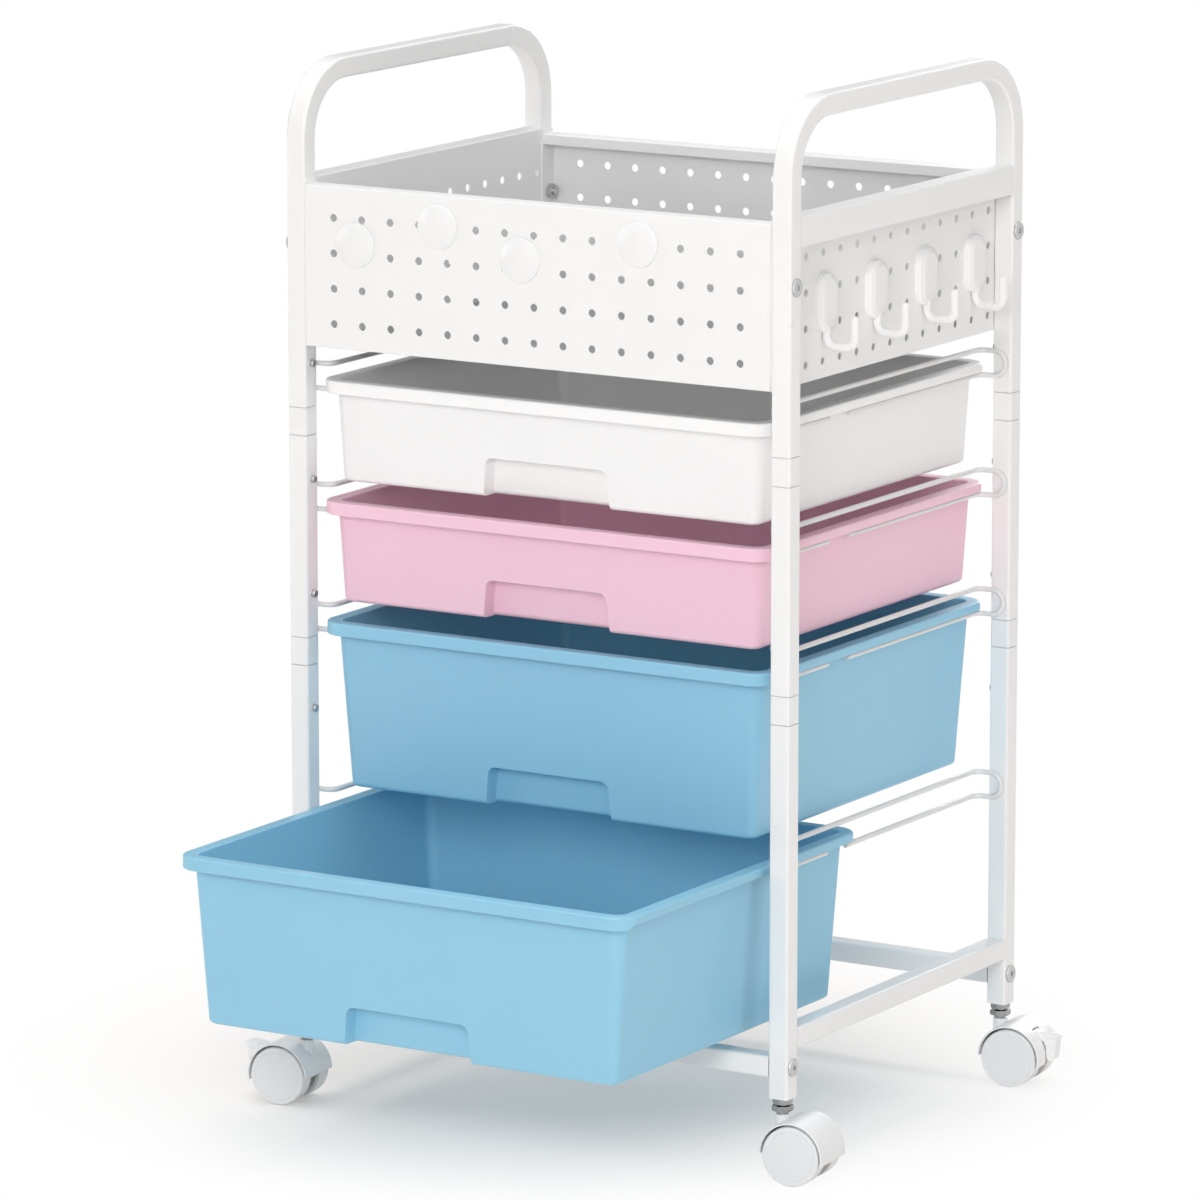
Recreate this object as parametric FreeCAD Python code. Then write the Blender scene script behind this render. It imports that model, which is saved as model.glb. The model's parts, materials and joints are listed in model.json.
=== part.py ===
import FreeCAD, Part
import math
import os

# Rolling drawer cart. Millimetres. While it is being modelled, X runs to the right, Y to the back
# and Z up, and the axis of the four posts stands over X 0, Y 0. The export moves the model so
# that its origin lies on the floor under the middle of its bounding box.

# Frame of square tube
FRAME_WIDTH = 434.0
FRAME_DEPTH = 350.0
TUBE = 16.0
TUBE_WALL = 1.2
TUBE_CORNER = 2.0
POST_BOTTOM = 61.0
CROSSBAR_RAISE = 15.5
BASE_RAIL_RAISE = 4.3
HANDLE_GAP = 69.0
HANDLE_BEND = 50.0
END_GAP = 0.1

# Joining collars and their screws
COLLAR_HEIGHT = 22.0
SPIGOT_LENGTH = 42.0
SPIGOT_CLEARANCE = 0.2
UPPER_COLLAR_DROP = 34.5
LOWER_COLLAR_DROP = 25.9
SCREW_SETBACK = 33.0
SCREW_RADIUS = 1.5
SCREW_LENGTH = 8.0
SCREW_HEAD_RADIUS = 3.0
SCREW_HEAD_HEIGHT = 3.2
SCREW_CLEARANCE = 0.1

# Bolts that hold the walls and the crossbars
BOLT_RADIUS = 3.0
BOLT_CLEARANCE = 0.3
BOLT_HEAD_RADIUS = 6.8
BOLT_HEAD_HEIGHT = 1.8
BOLT_SOCKET_FLATS = 4.0
BOLT_SOCKET_DEPTH = 1.2
BOLT_TAIL = 1.5
WALL_BOLT_RAISE = 76.0
NUT_FLATS = 10.0
NUT_HEIGHT = 4.5
THREAD_CLEARANCE = 0.05
INSERT_LENGTH = 16.0

# Drawers
SHALLOW_DEPTH = 77.5
DEEP_DEPTH = 128.0
DRAWER_WALL = 2.0
DRAWER_GAP = 14.5
DRAWER_BASE_GAP = 12.5
DRAWER_TAPER = 0.075
DRAWER_END_TAPER = 0.05
DRAWER_FOOT_CORNER = 6.0
DRAWER_FOOT_RADIUS = 4.0
RIM_SIDE_GAP = 6.0
RIM_FRONT_GAP = 4.0
RIM_REAR_GAP = 6.0
RIM_WIDTH = 9.0
RIM_CORNER = 20.0
RIM_EDGE = 1.5
RIM_FRONT_SKIRT = 10.0
RUNNER_WIDTH = 3.0
RUNNER_INSET = 12.0
RECESS_HEIGHT = 29.0
RECESS_DEPTH = 13.0
RECESS_TOP_WIDTH = 96.0
RECESS_BOTTOM_WIDTH = 112.0
RECESS_CORNER = 10.0
OPEN_TRAVEL = 194.0

# Wire rails that the drawer rims slide on
WIRE = 4.0
WIRE_BEND = 8.0
RAIL_HEIGHT = 19.0
RAIL_REACH = 4.0
RAIL_BREAK = 28.7
RAIL_BREAK_Y = -58.5
RAIL_CLEARANCE = 0.3
RIM_ABOVE_WIRE = 9.0

# Tray walls of folded sheet
SHEET = 1.0
WALL_RAISE = 34.5
FRONT_WALL_HEIGHT = 121.5
SIDE_WALL_HEIGHT = 126.0
FRONT_RIM_LIP = 8.0
SIDE_RIM_BAND = 21.5
FLOOR_LEDGE = 12.0
WALL_TAB = 17.0
TAB_TRIM = 2.0
FLOOR_CLEARANCE = 0.3
PEG_RADIUS = 3.0
PEG_PITCH = 25.0
PEG_ROW_PITCH = 26.6
PEG_EDGE = 8.0
FRONT_PEG_DROP = 23.3
SIDE_PEG_DROP = 33.9

# Casters
WHEEL_RADIUS = 22.5
WHEEL_WIDTH = 14.0
WHEEL_SPACING = 15.0
WHEEL_EDGE = 2.0
WHEEL_DISH = 8.0
WHEEL_DISH_RADIUS = 18.5
WHEEL_HUB_RADIUS = 7.0
CASTER_TRAIL = 15.5
CASTER_YAW = 5.5
HOOD_GAP = 0.7
HOOD_WALL = 1.4
HOOD_WEB = 12.0
HOOD_TAIL_ANGLE = 12.0
NECK_RADIUS = 5.5
NECK_TOP = 45.0
PIN_RADIUS = 3.5
PIN_DEPTH = 16.0
PIN_END_GAP = 1.0
RUNNING_CLEARANCE = 0.05
STEM_RADIUS = 4.0
STEM_END_GAP = 1.5
STEM_HEX_FLATS = 14.0
STEM_HEX_HEIGHT = 3.6
STEM_NECK = 3.0
LOCKNUT_FLATS = 13.0
SOCKET_BOLT_GAP = 1.0
AXLE_RADIUS = 2.5
AXLE_LENGTH = 37.0
AXLE_END_GAP = 0.5

# Brake lever, in its hood: distances from the wheel axle to the back and up
LEVER_WIDTH = 11.0
LEVER_SIDE_GAP = 0.5
LEVER_PIVOT_BACK = 13.5
LEVER_PIVOT_UP = 12.5
LEVER_PIN_RADIUS = 1.5
LEVER_BOSS_RADIUS = 3.6
LEVER_TAB_REACH = 38.0
LEVER_TAB_THICKNESS = 3.2
LEVER_TAB_UP = 16.5
LEVER_LEG_REACH = 32.5
LEVER_LEG_DOWN = 4.0
LEVER_SLOT_GAP = 0.8

# Hooks on the right wall and magnets on the front wall
HOOK_COLUMNS = (-4, -1, 2, 5)
HOOK_WIDTH = 27.0
HOOK_HEIGHT = 44.0
HOOK_PLATE = 6.5
HOOK_PLATE_EDGE = 2.5
HOOK_ROD = 3.2
HOOK_DROP = 13.0
HOOK_REACH = 26.5
HOOK_BEND = 8.0
HOOK_TIP = 27.0
HOOK_TOP_DROP = 48.5
PEG_CLEARANCE = 0.2
PEG_LENGTH = 3.0
MAGNET_RADIUS = 16.8
MAGNET_RIM = 2.0
MAGNET_DOME = 4.0
MAGNETS = ((-155.0, 79.4), (-82.6, 98.5), (-11.2, 79.4), (89.7, 98.5))

# Places worked out from the sizes above
V = FreeCAD.Vector
UP = V(0, 0, 1)
RIGHT = V(1, 0, 0)
BACK = V(0, 1, 0)
OUTER_X = FRAME_WIDTH / 2
OUTER_Y = FRAME_DEPTH / 2
INNER_X = OUTER_X - TUBE
INNER_Y = OUTER_Y - TUBE
POST_X = OUTER_X - TUBE / 2
POST_Y = OUTER_Y - TUBE / 2
CROSSBAR_Z = POST_BOTTOM + CROSSBAR_RAISE
BASE_RAIL_Z = CROSSBAR_Z + TUBE + BASE_RAIL_RAISE
BOTTOM_DRAWER_Z = CROSSBAR_Z + TUBE + DRAWER_BASE_GAP
DRAWER_DEPTHS = {
    "lower_blue_drawer": DEEP_DEPTH,
    "upper_blue_drawer": DEEP_DEPTH,
    "pink_drawer": SHALLOW_DEPTH,
    "white_drawer": SHALLOW_DEPTH,
}
RIM_HALF_WIDTH = INNER_X - RIM_SIDE_GAP
RIM_FRONT = -OUTER_Y + RIM_FRONT_GAP
RIM_REAR = OUTER_Y - RIM_REAR_GAP
WIRE_X = RIM_HALF_WIDTH - RIM_WIDTH / 2
RUNNER_Z_ABOVE_WIRE = WIRE / 2 + RAIL_CLEARANCE
POSTS = {
    "front_left": (-1, -1),
    "front_right": (1, -1),
    "rear_left": (-1, 1),
    "rear_right": (1, 1),
}
BRAKED = ("front_left", "rear_right")
HOOD_INNER = WHEEL_RADIUS + HOOD_GAP
HOOD_OUTER = HOOD_INNER + HOOD_WALL
HOOD_HALF_WIDTH = WHEEL_SPACING / 2 + WHEEL_WIDTH
AXLE = V(CASTER_TRAIL, 0, WHEEL_RADIUS)
STEM_HEX_Z = NECK_TOP + STEM_NECK
SOCKET_TOP = CROSSBAR_Z + TUBE / 2 - BOLT_RADIUS - SOCKET_BOLT_GAP
STEM_TOP = SOCKET_TOP - STEM_END_GAP
FAR = 3 * HOOD_OUTER


def drawer_places():
    """Return each drawer's bottom height and the height of the wire it rides on."""
    places = {}
    bottom = BOTTOM_DRAWER_Z
    for name, depth in DRAWER_DEPTHS.items():
        places[name] = (bottom, bottom + depth - RIM_ABOVE_WIRE)
        bottom += depth + DRAWER_GAP
    return places


DRAWERS = drawer_places()
TOP_WIRE_Z = DRAWERS["white_drawer"][1]
WALL_BOTTOM = TOP_WIRE_Z + WALL_RAISE
SIDE_WALL_TOP = WALL_BOTTOM + SIDE_WALL_HEIGHT
FRONT_WALL_TOP = WALL_BOTTOM + FRONT_WALL_HEIGHT
HANDLE_TOP = SIDE_WALL_TOP + HANDLE_GAP + TUBE
UPPER_COLLAR_Z = TOP_WIRE_Z - UPPER_COLLAR_DROP
LOWER_COLLAR_Z = DRAWERS["upper_blue_drawer"][1] - LOWER_COLLAR_DROP
WALL_BOLT_Z = WALL_BOTTOM + WALL_BOLT_RAISE
CROSSBAR_BOLT_Z = CROSSBAR_Z + TUBE / 2

# The bounding box runs from the open drawer's rim to the back of the rear right hood.
YAW = math.radians(CASTER_YAW)
FRONT_END = RIM_FRONT - OPEN_TRAVEL
REAR_END = (POST_Y + (CASTER_TRAIL + HOOD_OUTER) * math.sin(YAW)
            + HOOD_HALF_WIDTH * math.cos(YAW))
ORIGIN = V(0, (FRONT_END + REAR_END) / 2, 0)


# Basic shapes

def box(x0, x1, y0, y1, z0, z1):
    """A block between the given limits."""
    return Part.makeBox(x1 - x0, y1 - y0, z1 - z0, V(x0, y0, z0))


def rod(radius, start, direction, length):
    """A round bar from start along direction."""
    return Part.makeCylinder(radius, length, start, direction)


def fused(shapes):
    """One clean solid from several that touch or overlap."""
    return shapes[0].multiFuse(shapes[1:]).removeSplitter()


def rounded_rectangle(x0, x1, y0, y1, radius, z):
    """A closed outline at height z with four round corners."""
    corners = ((x1, y1, 0), (x0, y1, 90), (x0, y0, 180), (x1, y0, 270))
    ends = []
    edges = []
    for x, y, turn in corners:
        centre = V(x - math.copysign(radius, x - (x0 + x1) / 2),
                   y - math.copysign(radius, y - (y0 + y1) / 2), z)
        arc = Part.makeCircle(radius, centre, UP, turn, turn + 90)
        if ends:
            edges.append(Part.makeLine(ends[-1], arc.Vertexes[0].Point))
        edges.append(arc)
        ends.append(arc.Vertexes[-1].Point)
    edges.append(Part.makeLine(ends[-1], edges[0].Vertexes[0].Point))
    return Part.Wire(edges)


def square_section(size, radius, point, direction):
    """A square face with round corners, centred on point and square to direction."""
    half = size / 2
    face = Part.Face(rounded_rectangle(-half, half, -half, half, radius, 0))
    face.Placement = FreeCAD.Placement(point, FreeCAD.Rotation(UP, direction))
    return face


def square_bar(size, radius, start, direction, length):
    """A straight bar of square section."""
    return square_section(size, radius, start, direction).extrude(direction * length)


def square_tube(start, direction, length):
    """A straight piece of the frame's tube, open at both ends."""
    outer = square_bar(TUBE, TUBE_CORNER, start, direction, length)
    bore = TUBE - 2 * TUBE_WALL
    inner = square_bar(bore, TUBE_CORNER - TUBE_WALL, start, direction, length)
    return outer.cut(inner)


def hexagon_bar(flats, start, direction, length):
    """A hexagonal prism, measured across its flats."""
    radius = flats / math.sqrt(3)
    turns = [math.radians(60 * k) for k in range(7)]
    points = [V(radius * math.cos(t), radius * math.sin(t), 0) for t in turns]
    face = Part.Face(Part.makePolygon(points))
    face.Placement = FreeCAD.Placement(start, FreeCAD.Rotation(UP, direction))
    return face.extrude(direction * length)


def bent_rod(radius, corners, bends):
    """A round rod through the corner points, with one bend radius for each inner corner."""
    pieces = []
    start = corners[0]
    for before, corner, after, bend in zip(corners, corners[1:], corners[2:], bends):
        come = (corner - before).normalize()
        leave = (after - corner).normalize()
        turn = come.getAngle(leave)
        setback = bend * math.tan(turn / 2)
        arc_start = corner - come * setback
        if (arc_start - start).Length > 1e-6:
            pieces.append(rod(radius, start, come, (arc_start - start).Length))
        centre = arc_start + (leave - come * come.dot(leave)).normalize() * bend
        disc = Part.Face(Part.Wire(Part.makeCircle(radius, arc_start, come)))
        pieces.append(disc.revolve(centre, come.cross(leave), math.degrees(turn)))
        start = corner + leave * setback
    last = corners[-1] - start
    if last.Length > 1e-6:
        pieces.append(rod(radius, start, last.normalize(), (corners[-1] - start).Length))
    return fused(pieces)


def folded_sheet(outline, width_start, width, direction):
    """Sheet folded along an open outline, thickened to the outline's left, then drawn to width."""
    face = Part.makePolygon(outline).makeOffset2D(SHEET, 0, True, True)
    face.translate(direction * width_start)
    return face.extrude(direction * width)


# Frame of tubes, collars and fasteners

def handle(side):
    """An inverted U: both top legs of one side frame and the bar between them."""
    x = side * POST_X
    start = UPPER_COLLAR_Z + COLLAR_HEIGHT
    bend_z = HANDLE_TOP - TUBE / 2 - HANDLE_BEND

    def bar(size, radius):
        pieces = []
        for end in (-1, 1):
            foot = V(x, end * POST_Y, start)
            pieces.append(square_bar(size, radius, foot, UP, bend_z - start))
            section = square_section(size, radius, V(x, end * POST_Y, bend_z), UP)
            centre = V(x, end * (POST_Y - HANDLE_BEND), bend_z)
            pieces.append(section.revolve(centre, RIGHT * end, 90))
        half = POST_Y - HANDLE_BEND
        top = V(x, -half, HANDLE_TOP - TUBE / 2)
        pieces.append(square_bar(size, radius, top, BACK, 2 * half))
        return fused(pieces)

    shape = bar(TUBE, TUBE_CORNER).cut(bar(TUBE - 2 * TUBE_WALL, TUBE_CORNER - TUBE_WALL))
    holes = []
    for end in (-1, 1):
        holes.append(screw_hole(side, end, start + SCREW_SETBACK))
        holes.append(bolt_hole(side, end, WALL_BOLT_Z))
    return shape.cut(holes)


def screw_hole(side, end, z):
    """The hole for a collar screw in the inner face of a post."""
    start = V(side * (INNER_X - TUBE), end * POST_Y, z)
    return rod(SCREW_RADIUS + SCREW_CLEARANCE, start, RIGHT * side, TUBE + 2 * TUBE_WALL)


def bolt_hole(side, end, z):
    """The hole for a wall or crossbar bolt, through both walls of a post."""
    start = V(side * (INNER_X - TUBE), end * POST_Y, z)
    return rod(BOLT_RADIUS + BOLT_CLEARANCE, start, RIGHT * side, 3 * TUBE)


def post(side, end, start, stop, screws, bolts):
    """A straight post section with its holes."""
    shape = square_tube(V(side * POST_X, end * POST_Y, start), UP, stop - start)
    holes = [screw_hole(side, end, z) for z in screws]
    holes += [bolt_hole(side, end, z) for z in bolts]
    return shape.cut(holes)


def middle_post(side, end):
    """The post section between the lower and the upper collar."""
    start = LOWER_COLLAR_Z + COLLAR_HEIGHT
    screws = (start + SCREW_SETBACK, UPPER_COLLAR_Z - SCREW_SETBACK)
    return post(side, end, start, UPPER_COLLAR_Z, screws, ())


def lower_post(side, end):
    """The post section from the caster up to the lower collar."""
    screws = (LOWER_COLLAR_Z - SCREW_SETBACK,)
    return post(side, end, POST_BOTTOM, LOWER_COLLAR_Z, screws, (CROSSBAR_BOLT_Z,))


def base_rail(side):
    """The rail welded between a front and a rear lower post."""
    start = V(side * POST_X, -INNER_Y, BASE_RAIL_Z + TUBE / 2)
    return square_tube(start, BACK, 2 * INNER_Y)


def crossbar(end):
    """The bar between the left and the right lower posts, held by a bolt at each end."""
    half = INNER_X - END_GAP
    return square_tube(V(-half, end * POST_Y, CROSSBAR_Z + TUBE / 2), RIGHT, 2 * half)


def plug_size():
    """Side of a square plug that fits the bore of the tube."""
    return TUBE - 2 * TUBE_WALL - 2 * SPIGOT_CLEARANCE


def collar(side, end, z):
    """A plastic collar, flush with the posts, with a spigot up and one down."""
    centre = V(side * POST_X, end * POST_Y, z)
    ring = square_bar(TUBE, TUBE_CORNER, centre, UP, COLLAR_HEIGHT)
    foot = centre - UP * SPIGOT_LENGTH
    length = COLLAR_HEIGHT + 2 * SPIGOT_LENGTH
    spigots = square_bar(plug_size(), TUBE_CORNER - TUBE_WALL, foot, UP, length)
    shape = fused([ring, spigots])
    seams = (z - SCREW_SETBACK, z + COLLAR_HEIGHT + SCREW_SETBACK)
    bores = []
    for seam in seams:
        start = V(side * INNER_X, end * POST_Y, seam)
        length = SCREW_LENGTH + SCREW_CLEARANCE
        bores.append(rod(SCREW_RADIUS + THREAD_CLEARANCE, start, RIGHT * side, length))
    return shape.cut(bores)


def collar_screw(side, end, z):
    """A pan-head screw that holds a spigot, seen on the inner face of a post."""
    face = V(side * INNER_X, end * POST_Y, z)
    head = rod(SCREW_HEAD_RADIUS, face - RIGHT * side * SCREW_HEAD_HEIGHT, RIGHT * side,
               SCREW_HEAD_HEIGHT)
    crown = head.Edges
    edge = min(crown, key=lambda e: abs(e.CenterOfMass.x))
    head = head.makeFillet(SCREW_HEAD_RADIUS / 3, [edge])
    return fused([head, rod(SCREW_RADIUS, face, RIGHT * side, SCREW_LENGTH)])


def collar_screws():
    """All the screws of the upper and the lower collars."""
    screws = []
    for side, end in POSTS.values():
        for z in (LOWER_COLLAR_Z, UPPER_COLLAR_Z):
            screws.append(collar_screw(side, end, z - SCREW_SETBACK))
            screws.append(collar_screw(side, end, z + COLLAR_HEIGHT + SCREW_SETBACK))
    return Part.makeCompound(screws)


def bolt(side, end, z, length):
    """A flat-head bolt with a hexagon socket, put in from the outer side of a post."""
    inward = RIGHT * -side
    face = V(side * OUTER_X, end * POST_Y, z)
    head = rod(BOLT_HEAD_RADIUS, face, inward * -1, BOLT_HEAD_HEIGHT)
    edge = max(head.Edges, key=lambda e: abs(e.CenterOfMass.x))
    head = head.makeFillet(BOLT_HEAD_HEIGHT / 2, [edge])
    mouth = face - inward * (BOLT_HEAD_HEIGHT - BOLT_SOCKET_DEPTH)
    socket = hexagon_bar(BOLT_SOCKET_FLATS, mouth, inward * -1, BOLT_SOCKET_DEPTH)
    return fused([head, rod(BOLT_RADIUS, face, inward, length)]).cut(socket)


def frame_bolts():
    """The four wall bolts and the four crossbar bolts."""
    wall_length = TUBE + 2 * SHEET + NUT_HEIGHT + BOLT_TAIL
    bar_length = TUBE + INSERT_LENGTH - BOLT_TAIL
    bolts = []
    for side, end in POSTS.values():
        bolts.append(bolt(side, end, WALL_BOLT_Z, wall_length))
        bolts.append(bolt(side, end, CROSSBAR_BOLT_Z, bar_length))
    return Part.makeCompound(bolts)


def wall_nuts():
    """A hexagon nut inside the tray on each wall bolt."""
    nuts = []
    for side, end in POSTS.values():
        start = V(side * (INNER_X - 2 * SHEET), end * POST_Y, WALL_BOLT_Z)
        nut = hexagon_bar(NUT_FLATS, start, RIGHT * -side, NUT_HEIGHT)
        bore = rod(BOLT_RADIUS + THREAD_CLEARANCE, start, RIGHT * -side, NUT_HEIGHT)
        nuts.append(nut.cut(bore))
    return Part.makeCompound(nuts)


def crossbar_inserts():
    """A threaded plug in each end of the two crossbars."""
    inserts = []
    for side, end in POSTS.values():
        start = V(side * (INNER_X - END_GAP), end * POST_Y, CROSSBAR_BOLT_Z)
        plug = square_bar(plug_size(), TUBE_CORNER - TUBE_WALL, start, RIGHT * -side,
                          INSERT_LENGTH)
        bore = rod(BOLT_RADIUS + THREAD_CLEARANCE, start, RIGHT * -side, INSERT_LENGTH)
        inserts.append(plug.cut(bore))
    return Part.makeCompound(inserts)


# Wire rails

def rail(side, wire_z):
    """One wire, bent to a long flat loop, with both U ends welded to the posts."""
    x = side * WIRE_X
    face_y = INNER_Y - WIRE / 2
    tip_x = side * (OUTER_X - RAIL_REACH)
    top = wire_z + RAIL_HEIGHT
    corners = [
        V(x, RAIL_BREAK_Y - RAIL_BREAK / 2, wire_z),
        V(x, -face_y, wire_z),
        V(tip_x, -face_y, wire_z),
        V(tip_x, -face_y, top),
        V(x, -face_y, top),
        V(x, face_y, top),
        V(tip_x, face_y, top),
        V(tip_x, face_y, wire_z),
        V(x, face_y, wire_z),
        V(x, RAIL_BREAK_Y + RAIL_BREAK / 2, wire_z),
    ]
    end_bend = RAIL_HEIGHT / 2
    bends = [WIRE_BEND, end_bend, end_bend, WIRE_BEND]
    return bent_rod(WIRE / 2, corners, bends + bends)


# Tray walls and floor

def peg_columns(half_width):
    """Column places of the peg holes that fit a wall of this half width."""
    count = int((half_width - PEG_EDGE) / PEG_PITCH)
    return [k * PEG_PITCH for k in range(-count, count + 1)]


def peg_rows(top, drop):
    """Row heights of the peg holes that fit between the top row and the wall's foot."""
    first = top - drop
    count = int((first - WALL_BOTTOM - PEG_EDGE) / PEG_ROW_PITCH)
    return [first - k * PEG_ROW_PITCH for k in range(count + 1)]


def end_wall(end):
    """Front or rear wall: folded foot, sheet, folded rim with a lip, and a tab at each end."""
    face = OUTER_Y - SHEET
    foot = WALL_BOTTOM + SHEET
    rim = FRONT_WALL_TOP - SHEET
    lip = INNER_Y + SHEET
    outline = [
        V(0, -lip, FRONT_WALL_TOP - FRONT_RIM_LIP),
        V(0, -lip, rim),
        V(0, -face, rim),
        V(0, -face, foot),
        V(0, -face + FLOOR_LEDGE, foot),
    ]
    half = INNER_X - SHEET
    shape = folded_sheet(outline, -half, 2 * half, RIGHT)
    tab_foot = foot + SHEET + TAB_TRIM
    tab_top = rim - TAB_TRIM
    tab_y = -face + WALL_TAB
    tabs = [
        box(half - SHEET, half, -OUTER_Y + SHEET / 2, tab_y, tab_foot, tab_top),
        box(-half, -half + SHEET, -OUTER_Y + SHEET / 2, tab_y, tab_foot, tab_top),
    ]
    shape = fused([shape] + tabs)
    holes = []
    for z in peg_rows(FRONT_WALL_TOP, FRONT_PEG_DROP):
        for x in peg_columns(INNER_X):
            holes.append(rod(PEG_RADIUS, V(x, -OUTER_Y - SHEET, z), BACK, 3 * SHEET))
    bolt_start = V(-INNER_X, -POST_Y, WALL_BOLT_Z)
    holes.append(rod(BOLT_RADIUS + BOLT_CLEARANCE, bolt_start, RIGHT, 2 * INNER_X))
    shape = shape.cut(holes)
    if end > 0:
        shape = shape.mirror(V(0, 0, 0), BACK)
    return shape


def side_wall(side):
    """Left or right wall: sheet welded inside the posts, with its rim folded out between them."""
    foot = WALL_BOTTOM
    rim = SIDE_WALL_TOP - SHEET
    outline = [
        V(INNER_X - SHEET - FLOOR_LEDGE, 0, foot),
        V(INNER_X, 0, foot),
        V(INNER_X, 0, rim),
        V(OUTER_X - SHEET, 0, rim),
        V(OUTER_X - SHEET, 0, SIDE_WALL_TOP - SIDE_RIM_BAND),
    ]
    half = INNER_Y - END_GAP
    shape = folded_sheet(outline, -half, 2 * half, BACK)
    reach = OUTER_Y - SHEET - FLOOR_CLEARANCE
    back_sheet = box(INNER_X - SHEET, INNER_X, -reach, reach, foot, rim)
    shape = fused([shape, back_sheet])
    holes = []
    for z in peg_rows(SIDE_WALL_TOP, SIDE_PEG_DROP):
        for y in peg_columns(INNER_Y):
            holes.append(rod(PEG_RADIUS, V(INNER_X - 2 * SHEET, y, z), RIGHT, 3 * SHEET))
    for end in (-1, 1):
        start = V(INNER_X - 2 * SHEET, end * POST_Y, WALL_BOLT_Z)
        holes.append(rod(BOLT_RADIUS + BOLT_CLEARANCE, start, RIGHT, 3 * SHEET))
    shape = shape.cut(holes)
    if side < 0:
        shape = shape.mirror(V(0, 0, 0), RIGHT)
    return shape


def tray_floor():
    """The sheet that lies on the folded feet of the four walls."""
    x = INNER_X - 2 * SHEET - FLOOR_CLEARANCE
    y = OUTER_Y - SHEET - FLOOR_CLEARANCE
    z = WALL_BOTTOM + SHEET
    return box(-x, x, -y, y, z, z + SHEET)


# Drawers

def drawer_loft(bottom, depth, inset, lift):
    """The drawer body's tapered block, drawn in by inset and with its foot raised by lift."""
    front = RIM_FRONT + RIM_WIDTH + inset
    rear = RIM_REAR - RIM_WIDTH - inset
    half = RIM_HALF_WIDTH - RIM_WIDTH - inset
    top = bottom + depth
    height = depth - lift
    side_in = height * DRAWER_TAPER
    end_in = height * DRAWER_END_TAPER
    wires = [
        rounded_rectangle(-half, half, front, rear, RIM_CORNER - RIM_WIDTH - inset, top),
        rounded_rectangle(-half + side_in, half - side_in, front + end_in, rear - end_in,
                          DRAWER_FOOT_CORNER - inset, bottom + lift),
    ]
    block = Part.makeLoft(wires, True, True)
    foot = [e for e in block.Edges if e.BoundBox.ZMax < bottom + lift + 0.01]
    return block.makeFillet(DRAWER_FOOT_RADIUS - inset, foot)


def recess(bottom, back, grow):
    """The finger recess under the drawer's front, as a block grown by the wall thickness."""
    top = bottom + RECESS_HEIGHT + grow
    slope = (RECESS_BOTTOM_WIDTH - RECESS_TOP_WIDTH) / 2 / RECESS_HEIGHT
    top_half = RECESS_TOP_WIDTH / 2 + grow
    low = bottom - DRAWER_WALL
    low_half = top_half + slope * (top - low)
    start = RIM_FRONT
    outline = [
        V(-low_half, start, low),
        V(-top_half, start, top),
        V(top_half, start, top),
        V(low_half, start, low),
        V(-low_half, start, low),
    ]
    block = Part.Face(Part.makePolygon(outline)).extrude(BACK * (back + grow - start))
    shoulders = [e for e in block.Edges
                 if e.BoundBox.ZMin > top - 0.01 and e.BoundBox.XLength < 0.01]
    return block.makeFillet(RECESS_CORNER + grow, shoulders)


def drawer(bottom, wire_z, shift):
    """One moulding: tapered body, hanging rim with runners, and the finger recess."""
    depth = wire_z + RIM_ABOVE_WIRE - bottom
    top = bottom + depth
    under = top - DRAWER_WALL
    skirt = wire_z + RUNNER_Z_ABOVE_WIRE
    half = RIM_HALF_WIDTH

    def rim_block(inset, z0, z1):
        wire = rounded_rectangle(-half + inset, half - inset, RIM_FRONT + inset,
                                 RIM_REAR - inset, RIM_CORNER - inset, z0)
        return Part.Face(wire).extrude(UP * (z1 - z0))

    rim = rim_block(0, skirt, top)
    crown = [e for e in rim.Edges if e.BoundBox.ZMin > top - 0.01]
    rim = rim.makeFillet(RIM_EDGE, crown).cut(rim_block(DRAWER_WALL, skirt, under))
    low = top - RIM_FRONT_SKIRT
    front_skirt = rim_block(0, low, skirt).cut(rim_block(DRAWER_WALL, low, skirt))
    front_zone = box(-half, half, RIM_FRONT, -INNER_Y - RAIL_CLEARANCE, low, skirt)
    front_skirt = front_skirt.common(front_zone)
    runners = []
    for x in (-WIRE_X, WIRE_X):
        runners.append(box(x - RUNNER_WIDTH / 2, x + RUNNER_WIDTH / 2,
                           RIM_FRONT + RUNNER_INSET, RIM_REAR - RUNNER_INSET, skirt, under))
    back = RIM_FRONT + RIM_WIDTH + depth * DRAWER_END_TAPER + RECESS_DEPTH
    body = drawer_loft(bottom, depth, 0, 0).cut(recess(bottom, back, 0))
    cavity = drawer_loft(bottom, depth, DRAWER_WALL, DRAWER_WALL)
    cavity = cavity.cut(recess(bottom, back, DRAWER_WALL))
    shape = fused([rim, front_skirt, body] + runners).cut(cavity)
    shape.translate(V(0, -shift, 0))
    return shape


# Casters, in their own frame: the stem axis stands over the zero point and the wheels trail
# along +X, with the axle along Y

def across(radius, half_width, back=0.0, up=0.0):
    """A round block across the caster, centred on the axle or on a point beside it."""
    start = AXLE + V(back, -half_width, up)
    return rod(radius, start, BACK, 2 * half_width)


def upright_block(points, half_width):
    """A block across the caster from an outline of distances back and up from the axle."""
    corners = [AXLE + V(x, -half_width, z) for x, z in points]
    face = Part.Face(Part.makePolygon(corners + corners[:1]))
    return face.extrude(BACK * 2 * half_width)


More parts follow.
